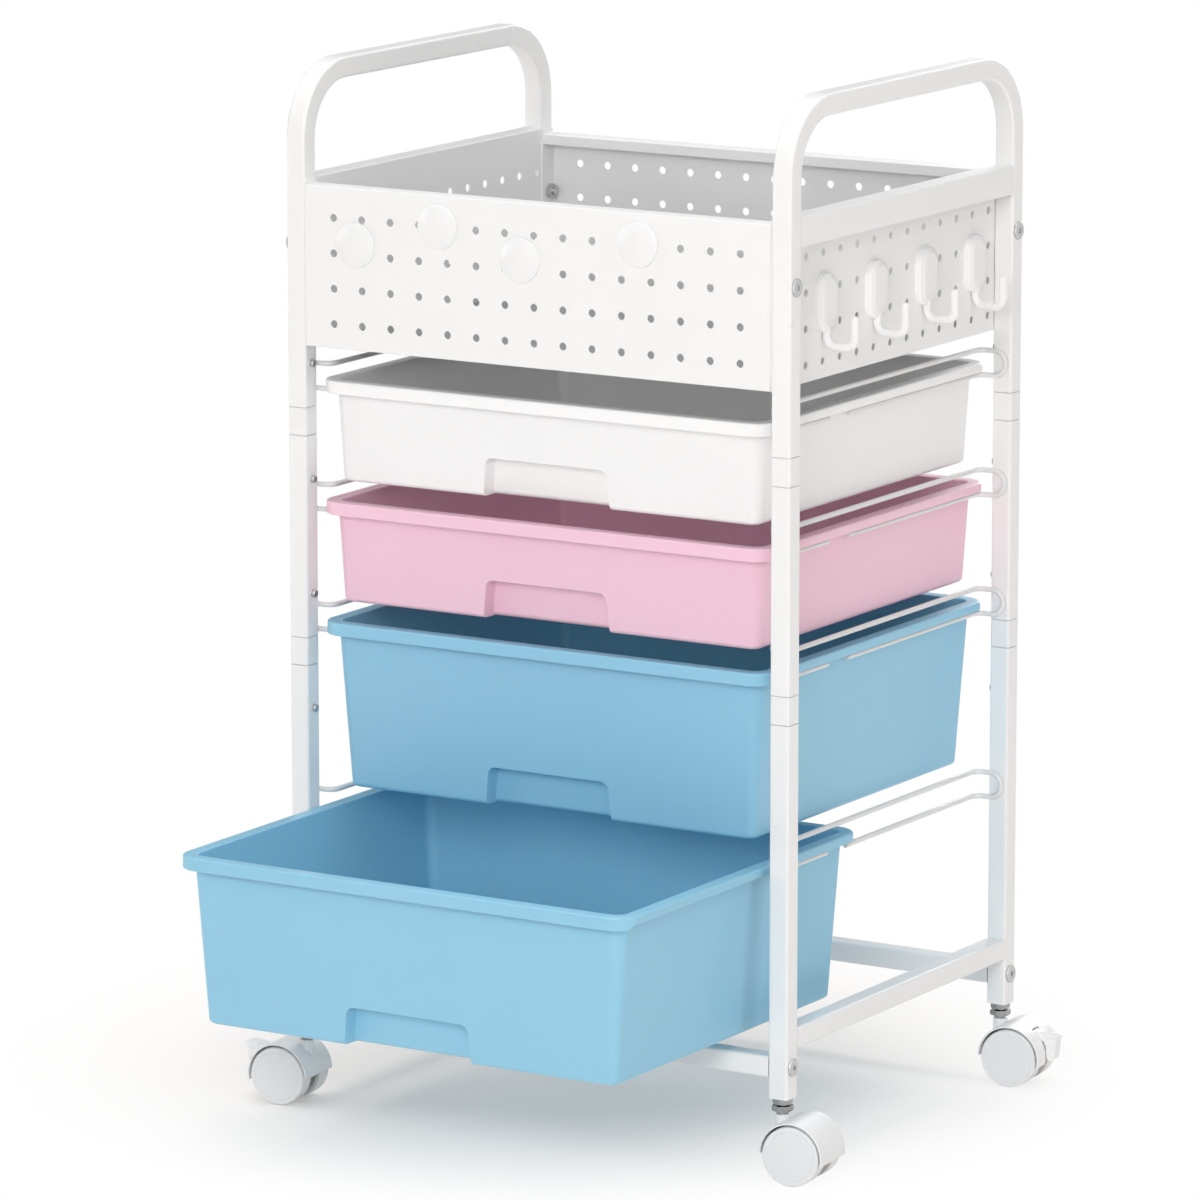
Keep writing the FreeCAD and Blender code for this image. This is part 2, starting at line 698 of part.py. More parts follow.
def hood(braked):
    """The dome over both wheels, its web between them and the neck that holds the stem."""
    drop = FAR * math.tan(math.radians(HOOD_TAIL_ANGLE))
    below = [(0, 0), (-FAR, 0), (-FAR, -FAR), (FAR, -FAR), (FAR, -drop)]
    dome = across(HOOD_OUTER, HOOD_HALF_WIDTH).cut(across(HOOD_INNER, HOOD_HALF_WIDTH))
    dome = dome.cut(upright_block(below, HOOD_HALF_WIDTH))
    web_half = HOOD_WEB / 2
    web = across(HOOD_OUTER, web_half)
    web = web.cut(upright_block([(-FAR, 0), (-FAR, -FAR), (FAR, -FAR), (FAR, 0)], web_half))
    boss = across(WHEEL_HUB_RADIUS, web_half)
    tail = [(WHEEL_HUB_RADIUS, -FAR), (FAR, -FAR), (FAR, WHEEL_HUB_RADIUS),
            (WHEEL_HUB_RADIUS, WHEEL_HUB_RADIUS)]
    web = web.cut(upright_block(tail, web_half))
    neck = rod(NECK_RADIUS, V(0, 0, WHEEL_RADIUS), UP, NECK_TOP - WHEEL_RADIUS)
    shape = fused([dome, web, boss, neck])
    cuts = [
        across(AXLE_RADIUS + RUNNING_CLEARANCE, web_half),
        rod(PIN_RADIUS + RUNNING_CLEARANCE, V(0, 0, NECK_TOP - PIN_DEPTH - PIN_END_GAP), UP,
            PIN_DEPTH + PIN_END_GAP),
    ]
    if braked:
        cuts.append(lever_slot())
        shape = shape.cut(cuts)
        pin = across(LEVER_PIN_RADIUS, LEVER_WIDTH / 2 + LEVER_SIDE_GAP + HOOD_WALL,
                     LEVER_PIVOT_BACK, LEVER_PIVOT_UP)
        cheeks = []
        for turn in (-1, 1):
            cheeks.append(lever_cheek(turn))
        return fused([shape, pin] + cheeks)
    return shape.cut(cuts)


def lever_cheek(turn):
    """A thin ear on each side of the brake lever that holds its pin under the dome."""
    inner = LEVER_WIDTH / 2 + LEVER_SIDE_GAP
    ear = across(HOOD_INNER + HOOD_WALL / 2, HOOD_WALL / 2)
    keep = upright_block([(WHEEL_HUB_RADIUS, WHEEL_HUB_RADIUS), (FAR, WHEEL_HUB_RADIUS),
                          (FAR, FAR), (WHEEL_HUB_RADIUS, FAR)], HOOD_WALL / 2)
    ear = ear.common(keep)
    ear.translate(V(0, turn * (inner + HOOD_WALL / 2), 0))
    return ear


def lever_slot():
    """The opening in the back of the hood that the brake lever swings in."""
    half = LEVER_WIDTH / 2 + LEVER_SIDE_GAP
    low = LEVER_PIVOT_BACK - LEVER_BOSS_RADIUS - LEVER_SLOT_GAP
    top = LEVER_TAB_UP + LEVER_SLOT_GAP
    return upright_block([(low, -FAR), (FAR, -FAR), (FAR, top), (low, top)], half)


def brake_lever():
    """The lever: a boss on the pin, a tab to step on and a leg down behind the wheels."""
    half = LEVER_WIDTH / 2
    boss = across(LEVER_BOSS_RADIUS, half, LEVER_PIVOT_BACK, LEVER_PIVOT_UP)
    leg_in = HOOD_OUTER + LEVER_SLOT_GAP
    tab_low = LEVER_TAB_UP - LEVER_TAB_THICKNESS
    tab = upright_block([
        (LEVER_PIVOT_BACK, LEVER_TAB_UP - LEVER_SLOT_GAP),
        (leg_in, LEVER_TAB_UP),
        (LEVER_TAB_REACH, LEVER_TAB_UP - LEVER_SLOT_GAP),
        (LEVER_TAB_REACH, tab_low),
        (LEVER_LEG_REACH, tab_low - LEVER_SLOT_GAP),
        (LEVER_LEG_REACH - LEVER_SLOT_GAP, -LEVER_LEG_DOWN),
        (leg_in, -LEVER_LEG_DOWN),
        (leg_in, tab_low - LEVER_TAB_THICKNESS),
        (LEVER_PIVOT_BACK, LEVER_PIVOT_UP - LEVER_BOSS_RADIUS),
    ], half)
    shape = fused([boss, tab])
    return shape.cut(across(LEVER_PIN_RADIUS + RUNNING_CLEARANCE, half, LEVER_PIVOT_BACK,
                            LEVER_PIVOT_UP))


def wheel(turn):
    """One wheel, closed and rounded outside, dished inside round a hub with a blind bore."""
    inner = WHEEL_SPACING / 2
    start = AXLE + BACK * turn * inner
    direction = BACK * turn
    disc = rod(WHEEL_RADIUS, start, direction, WHEEL_WIDTH)
    outer = [e for e in disc.Edges if abs(e.CenterOfMass.y) > inner + WHEEL_WIDTH - 0.01]
    disc = disc.makeFillet(WHEEL_EDGE, outer)
    dish = rod(WHEEL_DISH_RADIUS, start, direction, WHEEL_DISH)
    dish = dish.cut(rod(WHEEL_HUB_RADIUS, start, direction, WHEEL_DISH))
    bore_length = AXLE_LENGTH / 2 + AXLE_END_GAP - inner
    bore = rod(AXLE_RADIUS + RUNNING_CLEARANCE, start, direction, bore_length)
    return disc.cut([dish, bore])


def axle():
    """The steel pin through the hood's web and into both wheels."""
    return across(AXLE_RADIUS, AXLE_LENGTH / 2)


def caster_stem():
    """Swivel pin, hexagon and threaded stem in one piece."""
    pin_length = STEM_HEX_Z - NECK_TOP + PIN_DEPTH
    pieces = [
        rod(PIN_RADIUS, V(0, 0, NECK_TOP - PIN_DEPTH), UP, pin_length),
        hexagon_bar(STEM_HEX_FLATS, V(0, 0, STEM_HEX_Z), UP, STEM_HEX_HEIGHT),
        rod(STEM_RADIUS, V(0, 0, STEM_HEX_Z), UP, STEM_TOP - STEM_HEX_Z),
    ]
    return fused(pieces)


def stem_locknut():
    """The hexagon nut between the stem's own hexagon and the post."""
    low = STEM_HEX_Z + STEM_HEX_HEIGHT
    nut = hexagon_bar(LOCKNUT_FLATS, V(0, 0, low), UP, POST_BOTTOM - low)
    bore = rod(STEM_RADIUS + THREAD_CLEARANCE, V(0, 0, low), UP, POST_BOTTOM - low)
    return nut.cut(bore)


def caster_socket():
    """The threaded plug in the foot of a post."""
    foot = V(0, 0, POST_BOTTOM)
    length = SOCKET_TOP - POST_BOTTOM
    plug = square_bar(plug_size(), TUBE_CORNER - TUBE_WALL, foot, UP, length)
    return plug.cut(rod(STEM_RADIUS + THREAD_CLEARANCE, foot, UP, length))


def caster_turn(name):
    """Angle of a caster's trail at rest: outwards, turned by the small yaw seen in use."""
    side = POSTS[name][0]
    return CASTER_YAW if side > 0 else 180 + CASTER_YAW


def at_post(shape, name, turn=0.0):
    """Turn a caster piece about the stem axis and set it under its post."""
    side, end = POSTS[name]
    moved = shape.copy()
    moved.rotate(V(0, 0, 0), UP, turn)
    moved.translate(V(side * POST_X, end * POST_Y, 0))
    return moved


# Hooks and magnets

def hook(y):
    """A wall hook: a rounded plate with two pegs and a rod bent up into a J."""
    top = SIDE_WALL_TOP - HOOK_TOP_DROP
    low = top - HOOK_HEIGHT
    face = INNER_X
    outline = rounded_rectangle(-HOOK_HEIGHT, 0, -HOOK_WIDTH / 2, HOOK_WIDTH / 2,
                                HOOK_WIDTH / 2 - 0.5, 0)
    plate = Part.Face(outline).extrude(UP * HOOK_PLATE)
    crown = [e for e in plate.Edges if e.BoundBox.ZMin > HOOK_PLATE - 0.01]
    plate = plate.makeFillet(HOOK_PLATE_EDGE, crown)
    plate.rotate(V(0, 0, 0), BACK, -90)
    plate = plate.mirror(V(0, 0, 0), RIGHT)
    plate.translate(V(face, 0, top))
    back = face + HOOK_ROD
    bottom = low - HOOK_DROP + HOOK_ROD
    corners = [
        V(back, 0, low + HOOK_WIDTH / 3),
        V(back, 0, bottom),
        V(face + HOOK_REACH, 0, bottom),
        V(face + HOOK_REACH, 0, bottom - HOOK_ROD + HOOK_TIP),
    ]
    arm = bent_rod(HOOK_ROD, corners, [HOOK_BEND, HOOK_BEND])
    pieces = [plate, arm]
    for z in peg_rows(SIDE_WALL_TOP, SIDE_PEG_DROP):
        if low + HOOK_WIDTH / 4 < z < top - PEG_RADIUS:
            start = V(face, 0, z)
            pieces.append(rod(PEG_RADIUS - PEG_CLEARANCE, start, RIGHT * -1, PEG_LENGTH))
    shape = fused(pieces)
    shape.translate(V(0, y, 0))
    return shape


def magnet(x, raise_z):
    """A round magnet with a low domed cap, flat on the front wall."""
    centre = V(x, -OUTER_Y, WALL_BOTTOM + raise_z)
    rim = rod(MAGNET_RADIUS, centre, BACK * -1, MAGNET_RIM)
    ball_radius = (MAGNET_RADIUS ** 2 + MAGNET_DOME ** 2) / (2 * MAGNET_DOME)
    ball_centre = centre + BACK * (ball_radius - MAGNET_DOME - MAGNET_RIM)
    ball = Part.makeSphere(ball_radius, ball_centre)
    cap = rod(MAGNET_RADIUS, centre - BACK * MAGNET_RIM, BACK * -1, MAGNET_DOME)
    return fused([rim, cap.common(ball)])


# All the pieces under their names

def frame_pieces():
    """The tubes, collars, fasteners, rails, walls and floor."""
    pieces = {}
    for name, side in (("left", -1), ("right", 1)):
        pieces[name + "_handle"] = handle(side)
        pieces[name + "_base_rail"] = base_rail(side)
        pieces[name + "_wall"] = side_wall(side)
        for drawer_name, (bottom, wire_z) in DRAWERS.items():
            rail_name = drawer_name.replace("drawer", name + "_rail")
            pieces[rail_name] = rail(side, wire_z)
    for name, end in (("front", -1), ("rear", 1)):
        pieces[name + "_crossbar"] = crossbar(end)
        pieces[name + "_wall"] = end_wall(end)
    for name, (side, end) in POSTS.items():
        pieces[name + "_middle_post"] = middle_post(side, end)
        pieces[name + "_lower_post"] = lower_post(side, end)
    for name, z in (("upper_collars", UPPER_COLLAR_Z), ("lower_collars", LOWER_COLLAR_Z)):
        collars = [collar(side, end, z) for side, end in POSTS.values()]
        pieces[name] = Part.makeCompound(collars)
    pieces["collar_screws"] = collar_screws()
    pieces["frame_bolts"] = frame_bolts()
    pieces["wall_nuts"] = wall_nuts()
    pieces["crossbar_inserts"] = crossbar_inserts()
    pieces["tray_floor"] = tray_floor()
    return pieces


def drawer_pieces():
    """The four drawers, the lowest one drawn out."""
    pieces = {}
    for name, (bottom, wire_z) in DRAWERS.items():
        shift = OPEN_TRAVEL if name == "lower_blue_drawer" else 0.0
        pieces[name] = drawer(bottom, wire_z, shift)
    return pieces


def caster_pieces():
    """The fixed stems and sockets, and each caster's turning pieces."""
    pieces = {}
    fixed = {
        "caster_stems": caster_stem(),
        "stem_locknuts": stem_locknut(),
        "caster_sockets": caster_socket(),
    }
    for name, shape in fixed.items():
        pieces[name] = Part.makeCompound([at_post(shape, post_name) for post_name in POSTS])
    for name in POSTS:
        turn = caster_turn(name)
        braked = name in BRAKED
        pieces[name + "_caster_hood"] = at_post(hood(braked), name, turn)
        pieces[name + "_axle"] = at_post(axle(), name, turn)
        pieces[name + "_wheel_a"] = at_post(wheel(-1), name, turn)
        pieces[name + "_wheel_b"] = at_post(wheel(1), name, turn)
        if braked:
            pieces[name + "_brake_lever"] = at_post(brake_lever(), name, turn)
    return pieces


def accessory_pieces():
    """The hooks and the magnets."""
    hooks = [hook(column * PEG_PITCH) for column in HOOK_COLUMNS]
    magnets = [magnet(x, raise_z) for x, raise_z in MAGNETS]
    return {
        "wall_hooks": Part.makeCompound(hooks),
        "magnets": Part.makeCompound(magnets),
    }


def build():
    """Make every piece, move it to the model's origin and write it."""
    os.makedirs("parts", exist_ok=True)
    pieces = {}
    pieces.update(frame_pieces())
    pieces.update(drawer_pieces())
    pieces.update(caster_pieces())
    pieces.update(accessory_pieces())
    for name, shape in pieces.items():
        shape.translate(ORIGIN * -1)
        shape.exportStep("parts/" + name + ".step")
        print(name, len(shape.Solids), shape.isValid(), round(shape.Volume, 1))
    return pieces


build()
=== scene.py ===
"""Rolling drawer cart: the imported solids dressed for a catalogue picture.

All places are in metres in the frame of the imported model. The sizes that a section works
with are in millimetres, and MM turns them into metres.
"""

import json
import math

import bmesh
import bpy
import numpy as np
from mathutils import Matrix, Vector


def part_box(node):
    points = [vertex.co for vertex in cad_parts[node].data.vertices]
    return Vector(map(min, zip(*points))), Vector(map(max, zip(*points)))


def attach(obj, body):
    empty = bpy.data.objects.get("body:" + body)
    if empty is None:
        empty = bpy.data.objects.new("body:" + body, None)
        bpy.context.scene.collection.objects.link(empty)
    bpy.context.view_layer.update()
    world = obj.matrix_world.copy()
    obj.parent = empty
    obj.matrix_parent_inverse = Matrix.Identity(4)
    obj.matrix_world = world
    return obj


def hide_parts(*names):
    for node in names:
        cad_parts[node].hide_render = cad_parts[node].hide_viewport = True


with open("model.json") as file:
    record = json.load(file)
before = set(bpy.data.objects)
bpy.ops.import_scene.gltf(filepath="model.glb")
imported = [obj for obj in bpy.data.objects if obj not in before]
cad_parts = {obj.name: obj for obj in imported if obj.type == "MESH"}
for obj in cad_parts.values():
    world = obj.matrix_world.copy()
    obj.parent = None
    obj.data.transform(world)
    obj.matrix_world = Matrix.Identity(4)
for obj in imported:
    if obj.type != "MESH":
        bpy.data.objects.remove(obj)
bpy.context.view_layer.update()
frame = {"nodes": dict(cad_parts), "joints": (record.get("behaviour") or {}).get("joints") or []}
MM = 0.001

# Camera: to the right of the cart's front and a little above it, with a long lens, as for a
# catalogue picture.
CAMERA_PLACE = (2.8687, -4.6806, 1.4754)
CAMERA_TURN = 31.48
CAMERA_PITCH = 11.11
CAMERA_LENS = 224.6

camera = bpy.data.objects.new("camera", bpy.data.cameras.new("camera"))
camera.location = CAMERA_PLACE
camera.rotation_euler = (math.radians(90 - CAMERA_PITCH), 0, math.radians(CAMERA_TURN))
camera.data.lens = CAMERA_LENS
camera.data.sensor_width = 36
camera.data.clip_end = 100
bpy.context.scene.collection.objects.link(camera)
bpy.context.scene.camera = camera
bpy.context.scene.view_settings.view_transform = "Standard"


# Light: a soft lamp in front, one overhead and one behind, with weaker ones at the sides and
# low down, in an even pale room. What polished metal mirrors is bright on one side only.
LAMPS = {
    "front_light": ((1.1, -3.0, 1.5), 1.3, 38),
    "left_light": ((-3.6, -1.6, 1.3), 2.0, 22),
    "top_light": ((-0.2, 0.3, 3.8), 2.0, 56),
    "right_light": ((4.0, -0.6, 1.3), 1.6, 18),
    "low_light": ((2.4, -3.2, 0.25), 0.9, 4),
    "back_light": ((-0.8, 4.2, 1.4), 2.0, 54),
}
LAMP_TARGET = (0.0, 0.0, 0.4)
ROOM_LIGHT = 0.44
MIRROR_BRIGHT_WAY = (0.60, -0.25, 0.76)
MIRROR_DARK_END = -0.45
MIRROR_BRIGHT_END = 0.75
MIRROR_DARK = 0.12
MIRROR_BRIGHT = 1.15


class Signal:
    """One output of a shader node, used in plain arithmetic: an operator adds its Math node."""

    def __init__(self, tree, socket=None):
        self.tree = tree
        self.socket = socket

    def node(self, kind, sockets=None, settings=None, output=0):
        """Add a node of this kind, set it up, feed its sockets and return one of its outputs."""
        made = self.tree.nodes.new(kind)
        for name, value in (settings or {}).items():
            setattr(made, name, value)
        for name, value in (sockets or {}).items():
            if isinstance(value, Signal):
                self.tree.links.new(value.socket, made.inputs[name])
            else:
                made.inputs[name].default_value = value
        return Signal(self.tree, made.outputs[output] if made.outputs else None)

    def maths(self, operation, first, second):
        """One Math node on two signals or numbers."""
        return self.node("ShaderNodeMath", {0: first, 1: second}, {"operation": operation})

    def __add__(self, other):
        return self.maths("ADD", self, other)

    def __radd__(self, other):
        return self.maths("ADD", other, self)

    def __sub__(self, other):
        return self.maths("SUBTRACT", self, other)

    def __rsub__(self, other):
        return self.maths("SUBTRACT", other, self)

    def __mul__(self, other):
        return self.maths("MULTIPLY", self, other)

    def __rmul__(self, other):
        return self.maths("MULTIPLY", other, self)


def empty_tree(owner):
    """Clear a material's or the world's nodes and return a starting signal."""
    owner.use_nodes = True
    owner.node_tree.nodes.clear()
    return Signal(owner.node_tree)


for name, (place, size, power) in LAMPS.items():
    lamp = bpy.data.lights.new(name, "AREA")
    lamp.shape = "DISK"
    lamp.size = size
    lamp.energy = power
    lamp_object = bpy.data.objects.new(name, lamp)
    aim = np.array(LAMP_TARGET) - np.array(place)
    turn = math.atan2(-aim[0], aim[1])
    tilt = math.atan2(math.hypot(aim[0], aim[1]), -aim[2])
    lamp_object.location = place
    lamp_object.rotation_euler = (tilt, 0, turn)
    bpy.context.scene.collection.objects.link(lamp_object)

world = bpy.data.worlds.new("studio")
bpy.context.scene.world = world
room = empty_tree(world)
seen = room.node("ShaderNodeLightPath")
glossy = Signal(room.tree, seen.socket.node.outputs["Is Glossy Ray"])
clear = Signal(room.tree, seen.socket.node.outputs["Is Transmission Ray"])
direct = room.maths("MAXIMUM", seen, clear)
bright_way = room.node("ShaderNodeVectorMath", {0: room.node("ShaderNodeTexCoord"),
                                                1: MIRROR_BRIGHT_WAY},
                       {"operation": "DOT_PRODUCT"}, 1)
mirrored = room.node("ShaderNodeMapRange", {0: bright_way, 1: MIRROR_DARK_END,
                                            2: MIRROR_BRIGHT_END, 3: MIRROR_DARK,
                                            4: MIRROR_BRIGHT})
lit = ROOM_LIGHT + glossy * (mirrored - ROOM_LIGHT)
strength = lit + direct * (1 - lit)
sky = room.node("ShaderNodeBackground", {"Color": (1, 1, 1, 1), "Strength": strength})
room.node("ShaderNodeOutputWorld", {"Surface": sky})


# Floor: a wide pale sweep of studio floor. It keeps the cart's shadow close by and turns to
# plain white further off.
FLOOR_HALF = 40.0
FLOOR_WHITE = (0.934, 0.889, 0.855, 1)
FLOOR_MIDDLE = (-0.12, 0.14, 0.0)
FLOOR_NEAR = 0.16
FLOOR_FAR = 0.47
FLOOR_LIFT = 0.14

floor_mesh = bpy.data.meshes.new("studio_floor")
floor_corners = [(x, y, 0.0) for x, y in ((-1, -1), (1, -1), (1, 1), (-1, 1))]
floor_mesh.from_pydata((np.array(floor_corners) * FLOOR_HALF).tolist(), [], [(0, 1, 2, 3)])
floor = bpy.data.objects.new("studio_floor", floor_mesh)
bpy.context.scene.collection.objects.link(floor)

floor_paint = bpy.data.materials.new("studio_floor")
ground = empty_tree(floor_paint)
place = ground.node("ShaderNodeTexCoord", output=3)
distance = ground.node("ShaderNodeVectorMath", {0: place, 1: FLOOR_MIDDLE},
                       {"operation": "DISTANCE"}, 1)
away = ground.node("ShaderNodeMapRange", {0: distance, 1: FLOOR_NEAR, 2: FLOOR_FAR, 3: FLOOR_LIFT,
                                          4: 1.0}, {"interpolation_type": "SMOOTHSTEP"})
path = ground.node("ShaderNodeLightPath")
glossy = Signal(ground.tree, path.socket.node.outputs["Is Glossy Ray"])
looked_at = ground.maths("MAXIMUM", path, glossy)
matt = ground.node("ShaderNodeBsdfDiffuse", {"Color": FLOOR_WHITE})
white = ground.node("ShaderNodeEmission", {"Color": (1, 1, 1, 1), "Strength": 1.0})
blend = ground.node("ShaderNodeMixShader", {0: away * looked_at, 1: matt, 2: white})
ground.node("ShaderNodeOutputMaterial", {"Surface": blend})
floor_mesh.materials.append(floor_paint)


# Tube frame: 16 mm square steel tube, bent, punched and welded, then powder coated white.
# The coat is satin, a little uneven in gloss, with a fine orange peel.
COAT_WHITE = (0.895, 0.894, 0.892)
COAT_SHADE = (0.860, 0.859, 0.857)
COAT_CLOUD = 9.0
COAT_GLOSS_SPREAD = 0.10
PEEL_SCALE = 750.0
PEEL_STRENGTH = 0.18
PEEL_DEPTH = 0.00012
TUBE_ROUGHNESS = 0.24
TUBE_NODES = ["left_handle", "right_handle", "left_base_rail", "right_base_rail",
              "front_crossbar", "rear_crossbar"]
POSTS = ("front_left", "front_right", "rear_left", "rear_right")


def mottled(signal, scale, detail):
    """Soft noise between 0 and 1 in the piece's own coordinates."""
    where = signal.node("ShaderNodeTexCoord", output=3)
    return signal.node("ShaderNodeTexNoise",
                       {"Vector": where, "Scale": scale, "Detail": detail, "Roughness": 0.55})


def two_tones(signal, mask, first, second):
    """A colour between two others, by a mask from 0 to 1."""
    return signal.node("ShaderNodeMix", {0: mask, 6: (*first, 1), 7: (*second, 1)},
                       {"data_type": "RGBA"}, 2)


def surface(name, colour, roughness, height, bump, depth, **constants):
    """Finish a material: a Principled shader, its bump, and constants on its own sockets."""
    sockets = {"Base Color": colour, "Roughness": roughness}
    sockets.update({key.replace("_", " "): value for key, value in constants.items()})
    sockets["Normal"] = colour.node(
        "ShaderNodeBump", {"Strength": bump, "Distance": depth, "Height": height})
    shader = colour.node("ShaderNodeBsdfPrincipled", sockets)
    colour.node("ShaderNodeOutputMaterial", {"Surface": shader})
    return bpy.data.materials[name]


def powder_coat(name, white, shade, rough):
    """Powder coat: cloudy white, uneven gloss and a fine orange peel."""
    start = empty_tree(bpy.data.materials.new(name))
    cloud = mottled(start, COAT_CLOUD, 3.0)
    peel = mottled(start, PEEL_SCALE, 2.0)
    colour = two_tones(start, cloud, white, shade)
    gloss = rough + COAT_GLOSS_SPREAD * cloud
    return surface(name, colour, gloss, peel, PEEL_STRENGTH, PEEL_DEPTH)


def dress(nodes, material):
    """Give CAD nodes a material through their objects' material slots."""
    for node in nodes:
        for place in frame["nodes"][node].material_slots:
            place.material = material


tube_coat = powder_coat("tube_powder_coat", COAT_WHITE, COAT_SHADE, TUBE_ROUGHNESS)
dress(TUBE_NODES, tube_coat)
dress([post + "_middle_post" for post in POSTS], tube_coat)
dress([post + "_lower_post" for post in POSTS], tube_coat)


# Collars: moulded white plastic sleeves between the tube sections, a shade darker and duller
# than the coat, with the fine grain of the mould. Their spigots reach into the tubes.
PLASTIC_WHITE = (0.885, 0.885, 0.884)
PLASTIC_SHADE = (0.855, 0.855, 0.855)
PLASTIC_ROUGHNESS = 0.40
PLASTIC_CLOUD = 5.0
PLASTIC_GLOSS_SPREAD = 0.08
GRAIN_SCALE = 1600.0
GRAIN_DEPTH = 0.0001
COLLAR_HEIGHT = 22.0
COLLAR_HALF = 8.0
TUBE_CORNER = 2.0
SPIGOT_LENGTH = 42.0
SPIGOT_HALF = 6.6
SPIGOT_CORNER = 0.8
SEAM = 0.6
COLLAR_EDGE = 0.2
MERGE_REACH = 2e-6


def moulded(name, light, shade, rough, bump=0.12, **constants):
    """Moulded plastic: slight drift in colour, satin gloss and the fine grain of the mould."""
    start = empty_tree(bpy.data.materials.new(name))
    drift = mottled(start, PLASTIC_CLOUD, 2.0)
    fine = mottled(start, GRAIN_SCALE, 2.0)
    colour = two_tones(start, drift, light, shade)
    gloss = rough + PLASTIC_GLOSS_SPREAD * drift
    return surface(name, colour, gloss, fine, bump, GRAIN_DEPTH, **constants)


collar_plastic = moulded("collar_plastic", PLASTIC_WHITE, PLASTIC_SHADE, PLASTIC_ROUGHNESS)


def grid_faces(rows, columns, wrap_rows=False, wrap_columns=False, first=0):
    """Quads between the neighbours of a grid of points, as rows of four point numbers."""
    row = np.arange(rows if wrap_rows else rows - 1)[:, None]
    column = np.arange(columns if wrap_columns else columns - 1)[None, :]
    next_row = (row + 1) % rows
    next_column = (column + 1) % columns
    corners = (row * columns + column, row * columns + next_column,
               next_row * columns + next_column, next_row * columns + column)
    return first + np.stack([c.ravel() for c in np.broadcast_arrays(*corners)], axis=1)


def piece(name, grids, material, body, replaced=(), crease=40.0):
    """Make one object of closed grids, each (points, wrap_rows, wrap_columns), in millimetres.

    Doubled points are merged, which closes the poles, the faces are turned outwards, and
    edges sharper than the crease angle stay crisp.
    """
    points = []
    faces = []
    count = 0
    for grid, wrap_rows, wrap_columns in grids:
        rows, columns = grid.shape[:2]
        points.append(grid.reshape(-1, 3) * MM)
        faces.append(grid_faces(rows, columns, wrap_rows, wrap_columns, count))
        count += rows * columns
    mesh = bpy.data.meshes.new(name)
    mesh.from_pydata(np.concatenate(points).tolist(), [], np.concatenate(faces).tolist())
    work = bmesh.new()
    work.from_mesh(mesh)
    bmesh.ops.remove_doubles(work, verts=work.verts, dist=MERGE_REACH)
    bmesh.ops.recalc_face_normals(work, faces=work.faces)
    work.to_mesh(mesh)
    work.free()
    mesh.polygons.foreach_set("use_smooth", [True] * len(mesh.polygons))
    mesh.set_sharp_from_angle(angle=math.radians(crease))
    mesh.materials.append(material)
    made = bpy.data.objects.new(name, mesh)
    bpy.context.scene.collection.objects.link(made)
    weighted = made.modifiers.new("even_shading", "WEIGHTED_NORMAL")
    weighted.keep_sharp = True
    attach(made, body)
    if replaced:
        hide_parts(*replaced)
    return made


def arc(centre, radius, start, stop, steps):
    """Points on an arc in a plane, from one angle in degrees to another."""
    turn = np.radians(np.linspace(start, stop, steps))
    return np.stack([centre[0] + radius * np.cos(turn), centre[1] + radius * np.sin(turn)], 1)


def square_post(centre, stations):
    """A rounded square carried up a post's axis, through (height, half width, corner radius)."""
    height, half, corner = (np.array(part, float)[:, None] for part in zip(*stations))
    turn = np.concatenate([np.linspace(90 * k - 90, 90 * k, 5) for k in range(4)])
    side = np.repeat([1, 1, -1, -1], 5)
    end = np.repeat([-1, 1, 1, -1], 5)
    x = centre[0] + side * (half - corner) + corner * np.cos(np.radians(turn))
    y = centre[1] + end * (half - corner) + corner * np.sin(np.radians(turn))
    return np.stack([x, y, height + 0 * x], axis=2)


def corners_of(node):
    """A CAD node's lowest and highest corner in millimetres."""
    low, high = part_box(node)
    return np.array(low) / MM, np.array(high) / MM


def post_centre(post):
    """The middle of a post, from the box of its lower section, in millimetres."""
    low, high = corners_of(post + "_lower_post")
    return (low + high) / 2


for node in ("upper_collars", "lower_collars"):
    foot = corners_of(node)[0][2] + SPIGOT_LENGTH
    top = foot + COLLAR_HEIGHT
    spigot = (SPIGOT_HALF, SPIGOT_CORNER)
    edge = (COLLAR_HALF - COLLAR_EDGE, TUBE_CORNER - COLLAR_EDGE)
    stations = [(foot - SPIGOT_LENGTH, 0.0, 0.0), (foot - SPIGOT_LENGTH, *spigot),
                (foot + SEAM, *spigot), (foot + SEAM, *edge),
                (foot + SEAM + COLLAR_EDGE, COLLAR_HALF, TUBE_CORNER),
                (top - SEAM - COLLAR_EDGE, COLLAR_HALF, TUBE_CORNER),
                (top - SEAM, *edge), (top - SEAM, *spigot),
                (top + SPIGOT_LENGTH, *spigot), (top + SPIGOT_LENGTH, 0.0, 0.0)]
    grids = [(square_post(post_centre(post), stations), False, True) for post in POSTS]
    piece(node + "_moulding", grids, collar_plastic, "frame", [node])


# Fasteners: zinc plated steel. Pan-head screws on the inner faces of the posts hold the
# collars. Flat-head bolts with hexagon sockets go in from the outer faces, into nuts inside the
# tray and into threaded ends in the crossbars.
ZINC = (0.66, 0.66, 0.66)
ZINC_DARK = (0.46, 0.46, 0.46)
ZINC_ROUGHNESS = 0.30
PLATING_CLOUD = 160.0
PLATING_GLOSS_SPREAD = 0.18
TOOL_MARK_SCALE = 2600.0
TOOL_MARK_STRENGTH = 0.10
TOOL_MARK_DEPTH = 0.00005


